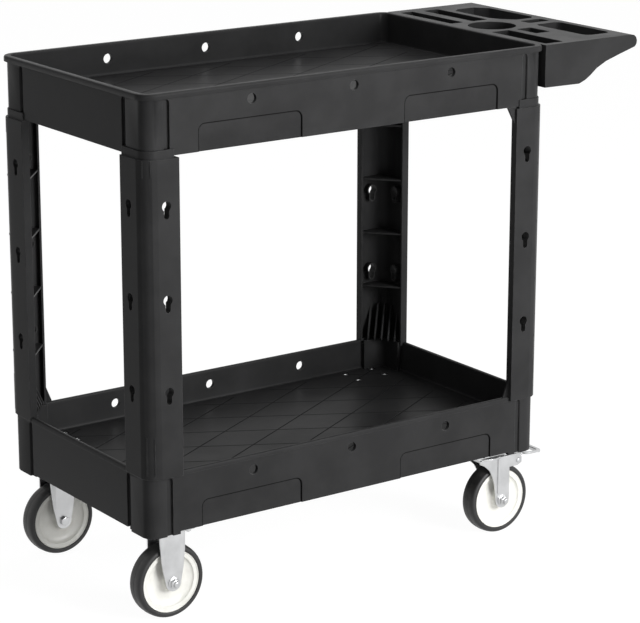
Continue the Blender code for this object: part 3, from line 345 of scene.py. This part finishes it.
def make_finish(name, dark, light, wear_and_highlight, roughness, worn_roughness, grain, depth, cloud=0.08,
                edge_radius=0.0012, edge_amount=0.5, metallic=0.0, specular=0.5, shelf=None,
                floor_z=None, dust=None):
    """Principled material: colour from mottle, edge wear and a painted edge highlight, roughness from
    mottle and edges, grain as bump.
    """
    material = bpy.data.materials.new(name)
    material.use_nodes = True
    tree = material.node_tree
    shader = tree.nodes["Principled BSDF"]
    grained = use_group(tree, grain_group, Grain=grain, Cloud=cloud)
    edge = use_group(tree, edge_group, Radius=edge_radius, Amount=edge_amount)
    colour = mix_colour(tree, grained["Mottle"], dark, light)
    # The edge tone mixed in here is partly real wear and partly a painted highlight on the edges.
    colour = mix_colour(tree, edge["Edge"], colour, wear_and_highlight)
    rough = add(tree, "ShaderNodeMapRange", {"Value": grained["Mottle"], "To Min": roughness[0],
                                             "To Max": roughness[1]}).outputs[0]
    height = grained["Height"]
    if shelf is not None:
        colour, rough, height = add_shelf_marks(tree, shelf, floor_z, dark, colour, rough, height)
    if dust is not None:
        colour = dust(tree, colour)
    rough = add(tree, "ShaderNodeMix", {0: edge["Edge"], 2: rough, 3: worn_roughness}).outputs[0]
    bump = add(tree, "ShaderNodeBump", {"Height": height, "Normal": edge["Normal"],
                                        "Strength": 1.0, "Distance": depth})
    tree.links.new(colour, shader.inputs["Base Color"])
    tree.links.new(rough, shader.inputs["Roughness"])
    tree.links.new(bump.outputs[0], shader.inputs["Normal"])
    shader.inputs["Metallic"].default_value = metallic
    shader.inputs["Specular IOR Level"].default_value = specular
    return material


# %% [markdown]
# ### Black moulded plastic
# The shelves, legs and handle are one dark polyolefin, almost black and only slightly glossy.
# Each shelf gets its own copy of the finish, because its sink lines and panel creases lie at its
# own height.

# %% Make the plastics
# The plastics' edge tone, far lighter than the body, is partly real wear and partly a painted
# highlight on the rims.
plastic_values = {
    "dark": (0.025, 0.025, 0.0255), "light": (0.031, 0.031, 0.0315), "wear_and_highlight": (0.120, 0.120, 0.121),
    "roughness": (0.33, 0.41), "worn_roughness": 0.42, "grain": 0.0011, "depth": 0.00004,
    "edge_radius": 0.0014, "edge_amount": 0.6, "specular": 0.045}
leg_plastic = make_finish("black_plastic_legs", **plastic_values)
upper_plastic = make_finish("black_plastic_upper_shelf", shelf="upper", floor_z=upper_floor_z,
                            **plastic_values)
lower_plastic = make_finish("black_plastic_lower_shelf", shelf="lower", floor_z=lower_floor_z,
                            **plastic_values)
print("made", leg_plastic.name, upper_plastic.name, lower_plastic.name)

# %% [markdown]
# ### Rubber, wheel plastic and plated steel
# The tyre is matt rubber whose tread greys with floor dust.  The wheel centre is a cream
# polypropylene, dirtier towards its hub.  The pressings are bright zinc, whose plating is faintly
# cloudy, and pins and races are darker, oiled steel.

# %% Tyre and wheel centre


def radial_dust(centre, start, stop, colour_of_dust, strength):
    """Return a step that lays dust over a colour, more of it from start towards stop, both being
    distances from a wheel's axle line."""
    def step(tree, colour):
        """Distance from the axle = sqrt(dx^2 + dz^2), turned into a 0 to 1 ramp."""
        place = add(tree, "ShaderNodeTexCoord").outputs["Object"]
        moved = add(tree, "ShaderNodeMapping", {"Vector": place, "Location": [-v for v in centre]})
        split = add(tree, "ShaderNodeSeparateXYZ", {0: moved.outputs[0]}).outputs
        squares = maths(tree, "ADD", maths(tree, "MULTIPLY", split["X"], split["X"]),
                        maths(tree, "MULTIPLY", split["Z"], split["Z"]))
        ramp = smooth_band(tree, maths(tree, "SQRT", squares), start, stop)
        noise = add(tree, "ShaderNodeTexNoise", {"Vector": place, "Scale": 90.0, "Detail": 5.0})
        dust = maths(tree, "MULTIPLY", maths(tree, "MULTIPLY", ramp, strength),
                     smooth_band(tree, noise.outputs[0], 0.25, 0.75))
        return mix_colour(tree, dust, colour, colour_of_dust)
    return step


# In each finish below the third colour is the edge tone: partly wear, partly a painted edge
# highlight.
tyre_finish, core_finish = {}, {}
for corner in corner_names:
    middle = wheel_centre(corner)
    tyre_finish[corner] = make_finish(
        "tyre_rubber_" + corner, (0.012, 0.012, 0.0125), (0.019, 0.019, 0.019),
        (0.05, 0.05, 0.05), (0.42, 0.55), 0.6, 0.0009, 0.00005, cloud=0.03, edge_radius=0.0008,
        edge_amount=0.3, specular=0.4,
        dust=radial_dust(middle, tyre_radius - 0.0020, tyre_radius - 0.0001,
                         (0.06, 0.058, 0.055), 0.45))
    core_finish[corner] = make_finish(
        "wheel_plastic_" + corner, (0.74, 0.735, 0.69), (0.80, 0.795, 0.755), (0.84, 0.835, 0.80),
        (0.30, 0.42), 0.35, 0.0016, 0.00003, cloud=0.02, edge_radius=0.0008, edge_amount=0.3,
        dust=radial_dust(middle, 0.030, 0.013, (0.58, 0.56, 0.50), 0.35))
print("made", len(tyre_finish) + len(core_finish), "tyre and wheel finishes")

# %% Plated steels
# The third colour is again the edge tone, partly wear and partly a painted edge highlight.
zinc = make_finish("zinc_plate", (0.50, 0.505, 0.51), (0.57, 0.575, 0.58), (0.76, 0.76, 0.76),
                   (0.30, 0.36), 0.26, 0.0006, 0.000006, cloud=0.035, edge_radius=0.0007,
                   edge_amount=0.5, metallic=1.0)
steel = make_finish("oiled_steel", (0.40, 0.41, 0.42), (0.52, 0.53, 0.54), (0.70, 0.70, 0.70),
                    (0.26, 0.40), 0.22, 0.0006, 0.000012, cloud=0.010, edge_radius=0.0005,
                    edge_amount=0.7, metallic=1.0)
print("made", zinc.name, "and", steel.name)

# %% [markdown]
# ## Smooth copies of the moulded and pressed pieces
# A CAD node arrives as loose triangles, and its round corners as a few flats.  We copy it, weld
# the copy, merge the triangles of each flat face, and shade the small steps of a curve smoothly
# while edges sharper than the limit stay crisp.  Weighted normals let the big flats win, so only
# the corners look round.


def attach(obj, node, finish):
    """Give a piece its finish, and the body of the node that it belongs to."""
    obj.data.materials.clear()
    obj.data.materials.append(finish)
    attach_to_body(obj, body_of_node[node])


def settle(obj, node, finish):
    """Attach a piece that stands in for its node."""
    attach(obj, node, finish)
    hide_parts(node)


def new_object(name, data):
    """An object for a mesh, lamp or camera, linked into the scene."""
    obj = bpy.data.objects.new(name, data)
    bpy.context.scene.collection.objects.link(obj)
    return obj


@contextlib.contextmanager
def editing(mesh):
    """Open a mesh as a BMesh for the length of a with block, then write it back."""
    shape = bmesh.new()
    shape.from_mesh(mesh)
    yield shape
    shape.to_mesh(mesh)
    shape.free()


def shade(obj, limit=30.0):
    """Smooth shading with sharp edges above the limit, normals weighted by face area."""
    obj.data.shade_smooth()
    obj.data.set_sharp_from_angle(angle=math.radians(limit))
    weighted = obj.modifiers.new("weighted", "WEIGHTED_NORMAL")
    weighted.keep_sharp = True


def weld(mesh, reach):
    """Merge vertices nearer than reach."""
    with editing(mesh) as shape:
        bmesh.ops.remove_doubles(shape, verts=shape.verts, dist=reach)


def merge_flats(mesh):
    """Make the triangles of each flat face one face."""
    with editing(mesh) as shape:
        bmesh.ops.dissolve_limit(shape, angle_limit=math.radians(0.4), verts=shape.verts,
                                 edges=shape.edges)


def face_outwards(mesh):
    """Turn every face of a closed mesh outwards."""
    with editing(mesh) as shape:
        bmesh.ops.recalc_face_normals(shape, faces=shape.faces)


def take_away(obj, cutter):
    """Cut one solid out of another with an exact Boolean, and drop the cutter."""
    modifier = obj.modifiers.new("cut", "BOOLEAN")
    modifier.operation, modifier.solver, modifier.object = "DIFFERENCE", "EXACT", cutter
    graph = bpy.context.evaluated_depsgraph_get()
    obj.data = bpy.data.meshes.new_from_object(obj.evaluated_get(graph))
    obj.modifiers.clear()
    bpy.data.objects.remove(cutter, do_unlink=True)


def smooth_copy(node, finish, cutter=None):
    """Copy of a CAD node, welded, cut where a cutter is given, and shaded smooth."""
    mesh = frame["nodes"][node].data.copy()
    weld(mesh, 0.00001)
    obj = new_object(node + "_piece", mesh)
    if cutter is not None:
        take_away(obj, cutter)
    merge_flats(obj.data)
    shade(obj)
    settle(obj, node, finish)


smooth_copy("upper_tray", upper_plastic)
smooth_copy("lower_tray", lower_plastic)
smooth_copy("handle_tray", leg_plastic)
for corner in corner_names:
    if caster_kind[corner] == "rigid":
        smooth_copy("rigid_fork_" + corner, zinc)
    else:
        for part in ("swivel_plate_", "swivel_fork_", "brake_pedal_"):
            smooth_copy(part + corner, zinc)
print("smoothed the mouldings and pressings")

# %% [markdown]
# ### Legs and their keyholes
# Each leg has three keyholes in each of its two faces, for hooks and bins.  Behind each hole the
# mould adds a collar, a short keyhole-shaped tube that ends 15 mm behind the face.  Seen from the
# side, the collar's wall hides half of the hole, and that dark edge is what makes the hole read as
# deep.  An outline in the leg's own face, carried inwards along that face's normal, gives both the
# cutter and the collar.

# %% Outline of a keyhole
key_head, key_slot, key_length = 0.0084, 0.0048, 0.0290
key_first, key_pitch = 0.0714, 0.1546
key_inset = {"x": 0.0409, "y": 0.0488}
collar_wall, collar_deep = 0.0021, 0.0150
face_skin, cut_from, cut_to = 0.0038, -0.0020, 0.0060


def keyhole_outline(grow=0.0):
    """Closed outline (across, down from the top of the head): an arc of the head's circle from
    one side of the slot round to the other, then the slot's half circle, all grown outwards."""
    head, slot = key_head + grow, key_slot + grow
    opening = math.asin(slot / head)
    turn = np.linspace(-math.pi / 2 + opening, 1.5 * math.pi - opening, 25)
    foot = np.linspace(math.pi, 2 * math.pi, 11)
    across = np.concatenate([head * np.cos(turn), slot * np.cos(foot)])
    down = np.concatenate([key_head - head * np.sin(turn),
                           key_length - key_slot - slot * np.sin(foot)])
    return across, down


def key_loop(corner, face, row, grow, depth):
    """The outline placed on one face of a leg, at a depth below that face."""
    low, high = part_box("leg_" + corner)
    sx, sy = (1.0 if "right" in corner else -1.0), outer_side(corner)
    out_x, out_y = (high.x if sx > 0 else low.x), (high.y if sy > 0 else low.y)
    across, down = keyhole_outline(grow)
    z = upper_low.z - key_first - row * key_pitch - down
    if face == "x":
        return np.stack([out_x - sx * key_inset["x"] + across,
                         np.full_like(across, out_y - sy * depth), z], 1)
    return np.stack([np.full_like(across, out_x - sx * depth),
                     out_y - sy * key_inset["y"] + across, z], 1)


def tubes(name, grids, closed):
    """One mesh from several grids of the same shape (count, rows, columns, 3)."""
    grids = np.asarray(grids)
    count, rows, columns, _ = grids.shape
    index = np.arange(count * rows * columns).reshape(count, rows, columns)
    ahead = np.roll(index, -1, axis=1) if closed else index[:, 1:]
    here = index if closed else index[:, :-1]
    faces = np.stack([here, ahead, np.roll(ahead, -1, axis=2), np.roll(here, -1, axis=2)], -1)
    faces = faces.reshape(-1, 4).tolist()
    if not closed:
        faces += index[:, 0].tolist() + index[:, -1, ::-1].tolist()
    mesh = bpy.data.meshes.new(name)
    mesh.from_pydata(grids.reshape(-1, 3), [], faces)
    face_outwards(mesh)
    return new_object(name, mesh)


# %% Cut the keyholes and add their collars
key_places = [(face, row) for face in ("x", "y") for row in range(3)]
for corner in corner_names:
    cutter = tubes("key_cutter", [[key_loop(corner, face, row, 0.0, depth)
                                   for depth in (cut_from, cut_to)]
                                  for face, row in key_places], closed=False)
    smooth_copy("leg_" + corner, leg_plastic, cutter=cutter)
    collars = tubes("keyhole_collars_" + corner,
                    [[key_loop(corner, face, row, grow, depth)
                      for grow, depth in ((0.0, face_skin), (0.0, collar_deep),
                                          (collar_wall, collar_deep), (collar_wall, face_skin))]
                     for face, row in key_places], closed=True)
    shade(collars)
    attach(collars, "leg_" + corner, leg_plastic)
print("cut", len(key_places) * len(corner_names), "keyholes")

# %% [markdown]
# ## Turned pieces
# Tyres, wheel centres, pins and bolt shanks are all turned about one line, so each is a profile
# of (distance along the axis, radius) swept through a circle.  On a grid of profile points by
# angles the whole surface is one array expression, and the same function also makes hexagons: a
# hexagon's radius at an angle is its half width divided by the cosine of the angle to the
# nearest flat.

# %% Sweep a profile round an axis
axis_frames = {
    "x": np.array([[1, 0, 0], [0, 1, 0], [0, 0, 1]], float),
    "y": np.array([[0, 1, 0], [0, 0, 1], [1, 0, 0]], float),
    "z": np.array([[0, 0, 1], [1, 0, 0], [0, 1, 0]], float),
}


def mesh_from_grid(name, points, close_rows):
    """Quads between each point, the next in its row and the next row; rows wrap round."""
    rows, columns, _ = points.shape
    index = np.arange(rows * columns).reshape(rows, columns)
    if close_rows:
        index = np.vstack([index, index[:1]])
    after = np.roll(index, -1, axis=1)
    faces = np.stack([index[:-1], index[1:], after[1:], after[:-1]], axis=-1).reshape(-1, 4)
    mesh = bpy.data.meshes.new(name)
    mesh.from_pydata(points.reshape(-1, 3), [], faces.tolist())
    weld(mesh, 0.000002)
    face_outwards(mesh)
    return new_object(name, mesh)


def swept(name, profile, centre, axis, around=96, hexes=None, closed=False):
    """P(i, t) = centre + a_i * axis + r_i(t) * (cos t, sin t) across it.
    r_i is the profile's radius; where hexes[i] is a half width w, it is min(r_i, w / cos(t'))
    with t' the angle to the nearest of six flats, so a cone cuts the hexagon's corners."""
    profile = np.asarray(profile, float)
    turn = np.linspace(0, 2 * np.pi, around, endpoint=False)
    radius = np.repeat(profile[:, 1:2], around, axis=1)
    if hexes is not None:
        flat = np.mod(turn, np.pi / 3) - np.pi / 6
        widths = np.asarray(hexes, float)[:, None]
        radius = np.where(widths > 0, np.minimum(radius, widths / np.cos(flat)), radius)
    a, u, v = axis_frames[axis]
    points = (np.asarray(centre, float) + profile[:, 0, None, None] * a
              + radius[..., None] * (np.cos(turn)[:, None] * u + np.sin(turn)[:, None] * v))
    obj = mesh_from_grid(name, points, closed)
    shade(obj, limit=32.0)
    return obj


def rounded(points, radius, steps=5):
    """Round each inner corner of an open (a, r) polyline.
    At a corner P the curve is the quadratic (1-s)^2 A + 2 s (1-s) P + s^2 B, with A and B on the
    two sides at the given distance, or at 0.45 of the side if that is nearer."""
    points = np.asarray(points, float)
    before, here, after = points[:-2], points[1:-1], points[2:]
    radii = np.broadcast_to(radius, len(here))[:, None]
    back, ahead = before - here, after - here
    back_length = np.linalg.norm(back, axis=1, keepdims=True)
    ahead_length = np.linalg.norm(ahead, axis=1, keepdims=True)
    start = here + back / back_length * np.minimum(radii, 0.45 * back_length)
    stop = here + ahead / ahead_length * np.minimum(radii, 0.45 * ahead_length)
    s = np.linspace(0, 1, steps)[None, :, None]
    curve = (1 - s) ** 2 * start[:, None] + 2 * s * (1 - s) * here[:, None] + s ** 2 * stop[:, None]
    return np.vstack([points[:1], curve.reshape(-1, 2), points[-1:]])


# %% [markdown]
# ### Tyres
# A solid tyre with a nearly flat tread, round shoulders and a fine parting line left by its two
# mould halves.  The profile is given for one side and mirrored.

# %% Build the tyres


def tyre_profile():
    """Half profile from the parting line out over the shoulder to the rim seat, then mirrored."""
    half = rounded([(0.0, tyre_radius), (0.0004, tyre_radius - 0.0004),
                    (0.5 * tyre_half, tyre_radius - 0.0003),
                    (0.90 * tyre_half, tyre_radius - 0.0020),
                    (tyre_half, tyre_radius - 0.0062), (0.985 * tyre_half, core_radius + 0.0015),
                    (0.93 * tyre_half, core_radius + 0.0003),
                    (0.5 * tyre_half, core_radius + 0.0003)],
                   [0.0002, 0.004, 0.004, 0.004, 0.001, 0.0006])
    return np.vstack([half, (half * (-1, 1))[::-1]])


for corner in corner_names:
    node = caster_kind[corner] + "_tyre_" + corner
    tyre = swept("tyre_" + corner, tyre_profile(), wheel_centre(corner), "y", around=144,
                 closed=True)
    settle(tyre, node, tyre_finish[corner])
print("tyre half width", round(tyre_half, 4))

# %% [markdown]
# ### Wheel centres
# The centre is dished: a flat outer rim, a step down, a web that falls towards the middle, and a
# round hub that stands up again nearly to the fork.

# %% Build the wheel centres


def core_profile():
    """Half profile (offset from mid-plane, radius) from the bore to the rim, then mirrored."""
    half = rounded([(hub_half, 0.0053), (hub_half, 0.0138), (hub_half - 0.0012, 0.0150),
                    (0.0112, 0.0168), (0.0078, 0.0225), (0.0066, 0.0335), (0.0094, 0.0420),
                    (0.0118, 0.0448), (0.0124, 0.0452), (0.0136, 0.0458), (0.0140, 0.0524),
                    (0.0152, 0.0530), (0.0152, core_radius), (0.0120, core_radius)],
                   [0.0003, 0.0008, 0.0020, 0.004, 0.006, 0.005, 0.0016, 0.0004, 0.0006, 0.0006,
                    0.0006, 0.0006])
    return np.vstack([half, (half * (-1, 1))[::-1]])


for corner in corner_names:
    node = caster_kind[corner] + "_wheel_core_" + corner
    core = swept("wheel_centre_" + corner, core_profile(), wheel_centre(corner), "y", around=144,
                 closed=True)
    settle(core, node, core_finish[corner])
print("hub half width", round(hub_half, 4))

# %% [markdown]
# ### Axle bolts and nuts
# The nuts are flanged and six-sided with their corners turned off by a cone, and a few rings of
# thread stand out past them.  Each bolt's reach is read from its own CAD box, measured outwards
# from the middle of its wheel.

# %% Build the axle hardware


def with_hexes(rows):
    """Split (along, radius, half width or 0) rows into a profile and its hexagon widths."""
    rows = np.asarray(rows, float)
    return rows[:, :2], rows[:, 2]


def thread(start, stop, radius, pitch=0.0012):
    """Zigzag of ridges: radius falls by 0.45 of the pitch between crests."""
    crests = np.arange(start, stop, pitch)
    pairs = np.stack([np.stack([crests, np.full_like(crests, radius)], 1),
                      np.stack([crests + pitch / 2, np.full_like(crests, radius - 0.45 * pitch)],
                               1)], 1)
    return [(a, r, 0.0) for a, r in pairs.reshape(-1, 2)]


for corner in corner_names:
    kind, side, centre = caster_kind[corner], outer_side(corner), wheel_centre(corner)
    bolt_node, nut_node = kind + "_axle_bolt_" + corner, kind + "_axle_nut_" + corner
    inner, outer = sorted(side * (corner_point.y - centre[1]) for corner_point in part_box(bolt_node))
    face, crown = sorted(side * (corner_point.y - centre[1]) for corner_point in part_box(nut_node))
    rows = [(inner, 0.0, 0), (inner, 0.0062, 0), (inner + 0.0006, 0.0080, 0.0072),
            (inner + 0.0012, 0.0086, 0.0074), (-face, 0.0086, 0.0074), (-face, 0.005, 0)]
    rows += [(face, 0.005, 0)] + thread(crown - 0.001, outer - 0.0010, 0.005)
    rows += [(outer - 0.0006, 0.0047, 0), (outer, 0.0038, 0), (outer, 0.0, 0)]
    profile, widths = with_hexes(rows)
    bolt = swept("axle_bolt_" + corner, profile * (side, 1), centre, "y", around=48, hexes=widths)
    settle(bolt, bolt_node, zinc)
    rows = [(face, 0.0053, 0), (face, 0.0105, 0), (face + 0.0007, 0.0105, 0),
            (face + 0.0015, 0.0090, 0), (face + 0.0019, 0.0090, 0.0078),
            (crown - 0.0016, 0.0090, 0.0078), (crown - 0.0004, 0.0072, 0.0078),
            (crown, 0.0062, 0), (crown, 0.0053, 0)]
    profile, widths = with_hexes(rows)
    nut = swept("axle_nut_" + corner, profile * (side, 1), centre, "y", around=48, hexes=widths,
                closed=True)
    settle(nut, nut_node, zinc)
print("made axle bolts and nuts")

# %% [markdown]
# ### Mounting bolts
# Each caster hangs on four bolts.  Their low round heads lie in shallow pockets of the lower
# shelf's floor, where only a bright disc shows, and their nuts are under the caster plate.

# %% Build the mounting bolts
head_height, tail_length, nut_height = 0.0028, 0.0012, 0.0050

for node in [name for name in body_of_node if name.startswith("caster_bolt_")]:
    low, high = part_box(node)
    centre = ((low.x + high.x) / 2, (low.y + high.y) / 2, 0.0)
    seat, tip = high.z - head_height, low.z
    nut_low, nut_high = tip + tail_length, tip + tail_length + nut_height
    rows = [(tip, 0.0, 0), (tip, 0.0024, 0), (tip + 0.0005, 0.003, 0), (nut_low, 0.003, 0),
            (nut_low, 0.0046, 0.0049), (nut_low + 0.0006, 0.0057, 0.0049),
            (nut_high, 0.0057, 0.0049), (nut_high, 0.003, 0), (seat, 0.003, 0),
            (seat, 0.0060, 0), (seat + 0.0014, 0.0060, 0), (seat + 0.0022, 0.0056, 0),
            (high.z - 0.0002, 0.0045, 0), (high.z, 0.0030, 0), (high.z, 0.0026, 0),
            (high.z - 0.0012, 0.0026, 0.0021), (high.z - 0.0012, 0.0, 0)]
    profile, widths = with_hexes(rows)
    bolt = swept(node + "_piece", profile, centre, "z", around=36, hexes=widths)
    settle(bolt, node, zinc)
print("made the mounting bolts")

# %% [markdown]
# ### Pins, races and handle screws
# The kingpin is a rivet with a domed head, the race is a pressed ring with a rolled edge, and
# three pan-head screws hold the handle tray from inside the shelf's skirt.

# %% Build pins, races and screws
for corner in ("front_right", "rear_right"):
    low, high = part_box("kingpin_" + corner)
    middle = ((low.x + high.x) / 2, (low.y + high.y) / 2, 0.0)
    rows = rounded([(low.z, 0.0), (low.z, 0.0070), (low.z + 0.0012, 0.0095),
                    (low.z + 0.0030, 0.0095), (low.z + 0.0030, 0.0060),
                    (high.z - 0.0014, 0.0060), (high.z - 0.0014, 0.0085),
                    (high.z, 0.0070), (high.z, 0.0)], 0.0006)
    settle(swept("kingpin_piece_" + corner, rows, middle, "z", around=64), "kingpin_" + corner,
           steel)
    low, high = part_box("bearing_ring_" + corner)
    rows = rounded([(low.z, 0.0063), (low.z, 0.0215), (low.z + 0.0016, 0.0245),
                    (high.z - 0.0008, 0.0245), (high.z, 0.0238), (high.z, 0.0063),
                    (low.z + 0.0005, 0.0063)], 0.0006)
    settle(swept("race_" + corner, rows, middle, "z", around=96, closed=True),
           "bearing_ring_" + corner, steel)
    low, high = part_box("pedal_pin_" + corner)
    middle = ((low.x + high.x) / 2, 0.0, (low.z + high.z) / 2)
    rows = rounded([(low.y, 0.0), (low.y, 0.0030), (low.y + 0.0016, 0.0050),
                    (low.y + 0.0016, 0.0030), (high.y - 0.0016, 0.0030),
                    (high.y - 0.0016, 0.0050), (high.y, 0.0030), (high.y, 0.0)], 0.0006)
    settle(swept("pedal_rivet_" + corner, rows, middle, "y", around=48), "pedal_pin_" + corner,
           steel)
for node in ("handle_screw_1", "handle_screw_2", "handle_screw_3"):
    low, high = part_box(node)
    middle = (0.0, (low.y + high.y) / 2, (low.z + high.z) / 2)
    rows = rounded([(low.x, 0.0), (low.x, 0.0028), (low.x + 0.0012, 0.0047),
                    (low.x + 0.0034, 0.0052), (low.x + 0.0034, 0.0022), (high.x - 0.0025, 0.0022),
                    (high.x, 0.0004), (high.x, 0.0)], 0.0005)
    settle(swept(node + "_piece", rows, middle, "x", around=40), node, steel)
print("made pins, races and screws")

# %% [markdown]
# ## Studio
# A catalogue studio: a big pale floor that camera and mirror-like reflections see as white, a
# large soft key lamp on the near side, a small one close to the ground that reaches the casters, a
# weak one overhead, and an even grey world as fill.

# %% Floor and world


def seen_directly(tree):
    """1 for camera, glossy and transmission rays, 0 for the rays that carry diffuse light."""
    path = add(tree, "ShaderNodeLightPath").outputs
    either = maths(tree, "MAXIMUM", path["Is Camera Ray"], path["Is Glossy Ray"])
    return maths(tree, "MAXIMUM", either, path["Is Transmission Ray"])


def build_floor(half, white_level, white_share):
    """Square floor: mostly plain white where seen, a diffuse share keeps the shadow."""
    corners = np.array([(-half, -half, 0), (half, -half, 0), (half, half, 0), (-half, half, 0)])
    mesh = bpy.data.meshes.new("studio_floor")
    mesh.from_pydata(corners, [], [(0, 1, 2, 3)])
    floor = new_object("studio_floor", mesh)
    material = bpy.data.materials.new("studio_floor_paint")
    material.use_nodes = True
    tree = material.node_tree
    tree.nodes.clear()
    paint = add(tree, "ShaderNodeBsdfDiffuse", {"Color": (0.86, 0.86, 0.86, 1.0)})
    white = add(tree, "ShaderNodeEmission", {"Color": (1, 1, 1, 1), "Strength": white_level})
    share = maths(tree, "MULTIPLY", seen_directly(tree), white_share)
    mixed = add(tree, "ShaderNodeMixShader", {0: share, 1: paint.outputs[0],
                                              2: white.outputs[0]})
    out = add(tree, "ShaderNodeOutputMaterial")
    tree.links.new(mixed.outputs[0], out.inputs["Surface"])
    mesh.materials.append(material)


def build_world(fill):
    """White where seen, a weaker even fill for diffuse light."""
    world = bpy.data.worlds.new("studio_world")
    bpy.context.scene.world = world
    world.use_nodes = True
    tree = world.node_tree
    background = tree.nodes["Background"]
    background.inputs["Color"].default_value = (1, 1, 1, 1)
    level = add(tree, "ShaderNodeMapRange", {"Value": seen_directly(tree), "To Min": fill,
                                             "To Max": 1.0})
    tree.links.new(level.outputs[0], background.inputs["Strength"])


build_floor(half=15.0, white_level=1.12, white_share=0.86)
build_world(fill=0.22)
print("made floor and world")

# %% Lamps


def soft_lamp(name, place, target, size, watts):
    """Square area lamp at a place, aimed at a target."""
    data = bpy.data.lights.new(name, "AREA")
    data.size, data.energy = size, watts
    lamp = new_object(name, data)
    lamp.location = place
    from_to = np.array(target, float) - np.array(place, float)
    yaw = math.atan2(from_to[1], from_to[0]) - math.pi / 2
    pitch = math.atan2(from_to[2], math.hypot(from_to[0], from_to[1]))
    lamp.rotation_euler = (math.pi / 2 + pitch, 0.0, yaw)


soft_lamp("key_lamp", (0.9, -3.0, 1.35), (0.0, 0.0, 0.6), size=1.5, watts=108.0)
soft_lamp("low_lamp", (0.3, -3.0, 0.30), (-0.2, 0.0, 0.1), size=1.0, watts=14.0)
soft_lamp("top_lamp", (0.2, 0.3, 3.0), (0.0, 0.0, 0.5), size=2.0, watts=14.0)
print("made the lamps")

# %% [markdown]
# ## Camera
# A long lens from a little above, turned about 35 degrees off the long side.

# %% Place the camera
lens = bpy.data.cameras.new("lesson_camera")
lens.lens, lens.sensor_width = 142.5, 36.0
lens.clip_end = 60.0
camera = new_object("lesson_camera", lens)
camera.location = (-2.5435, -3.5641, 1.6371)
camera.rotation_euler = [math.radians(degrees) for degrees in (74.401, -0.065, -35.376)]
bpy.context.scene.camera = camera
bpy.context.scene.view_settings.view_transform = "Standard"
print("camera at", tuple(round(value, 3) for value in camera.location))
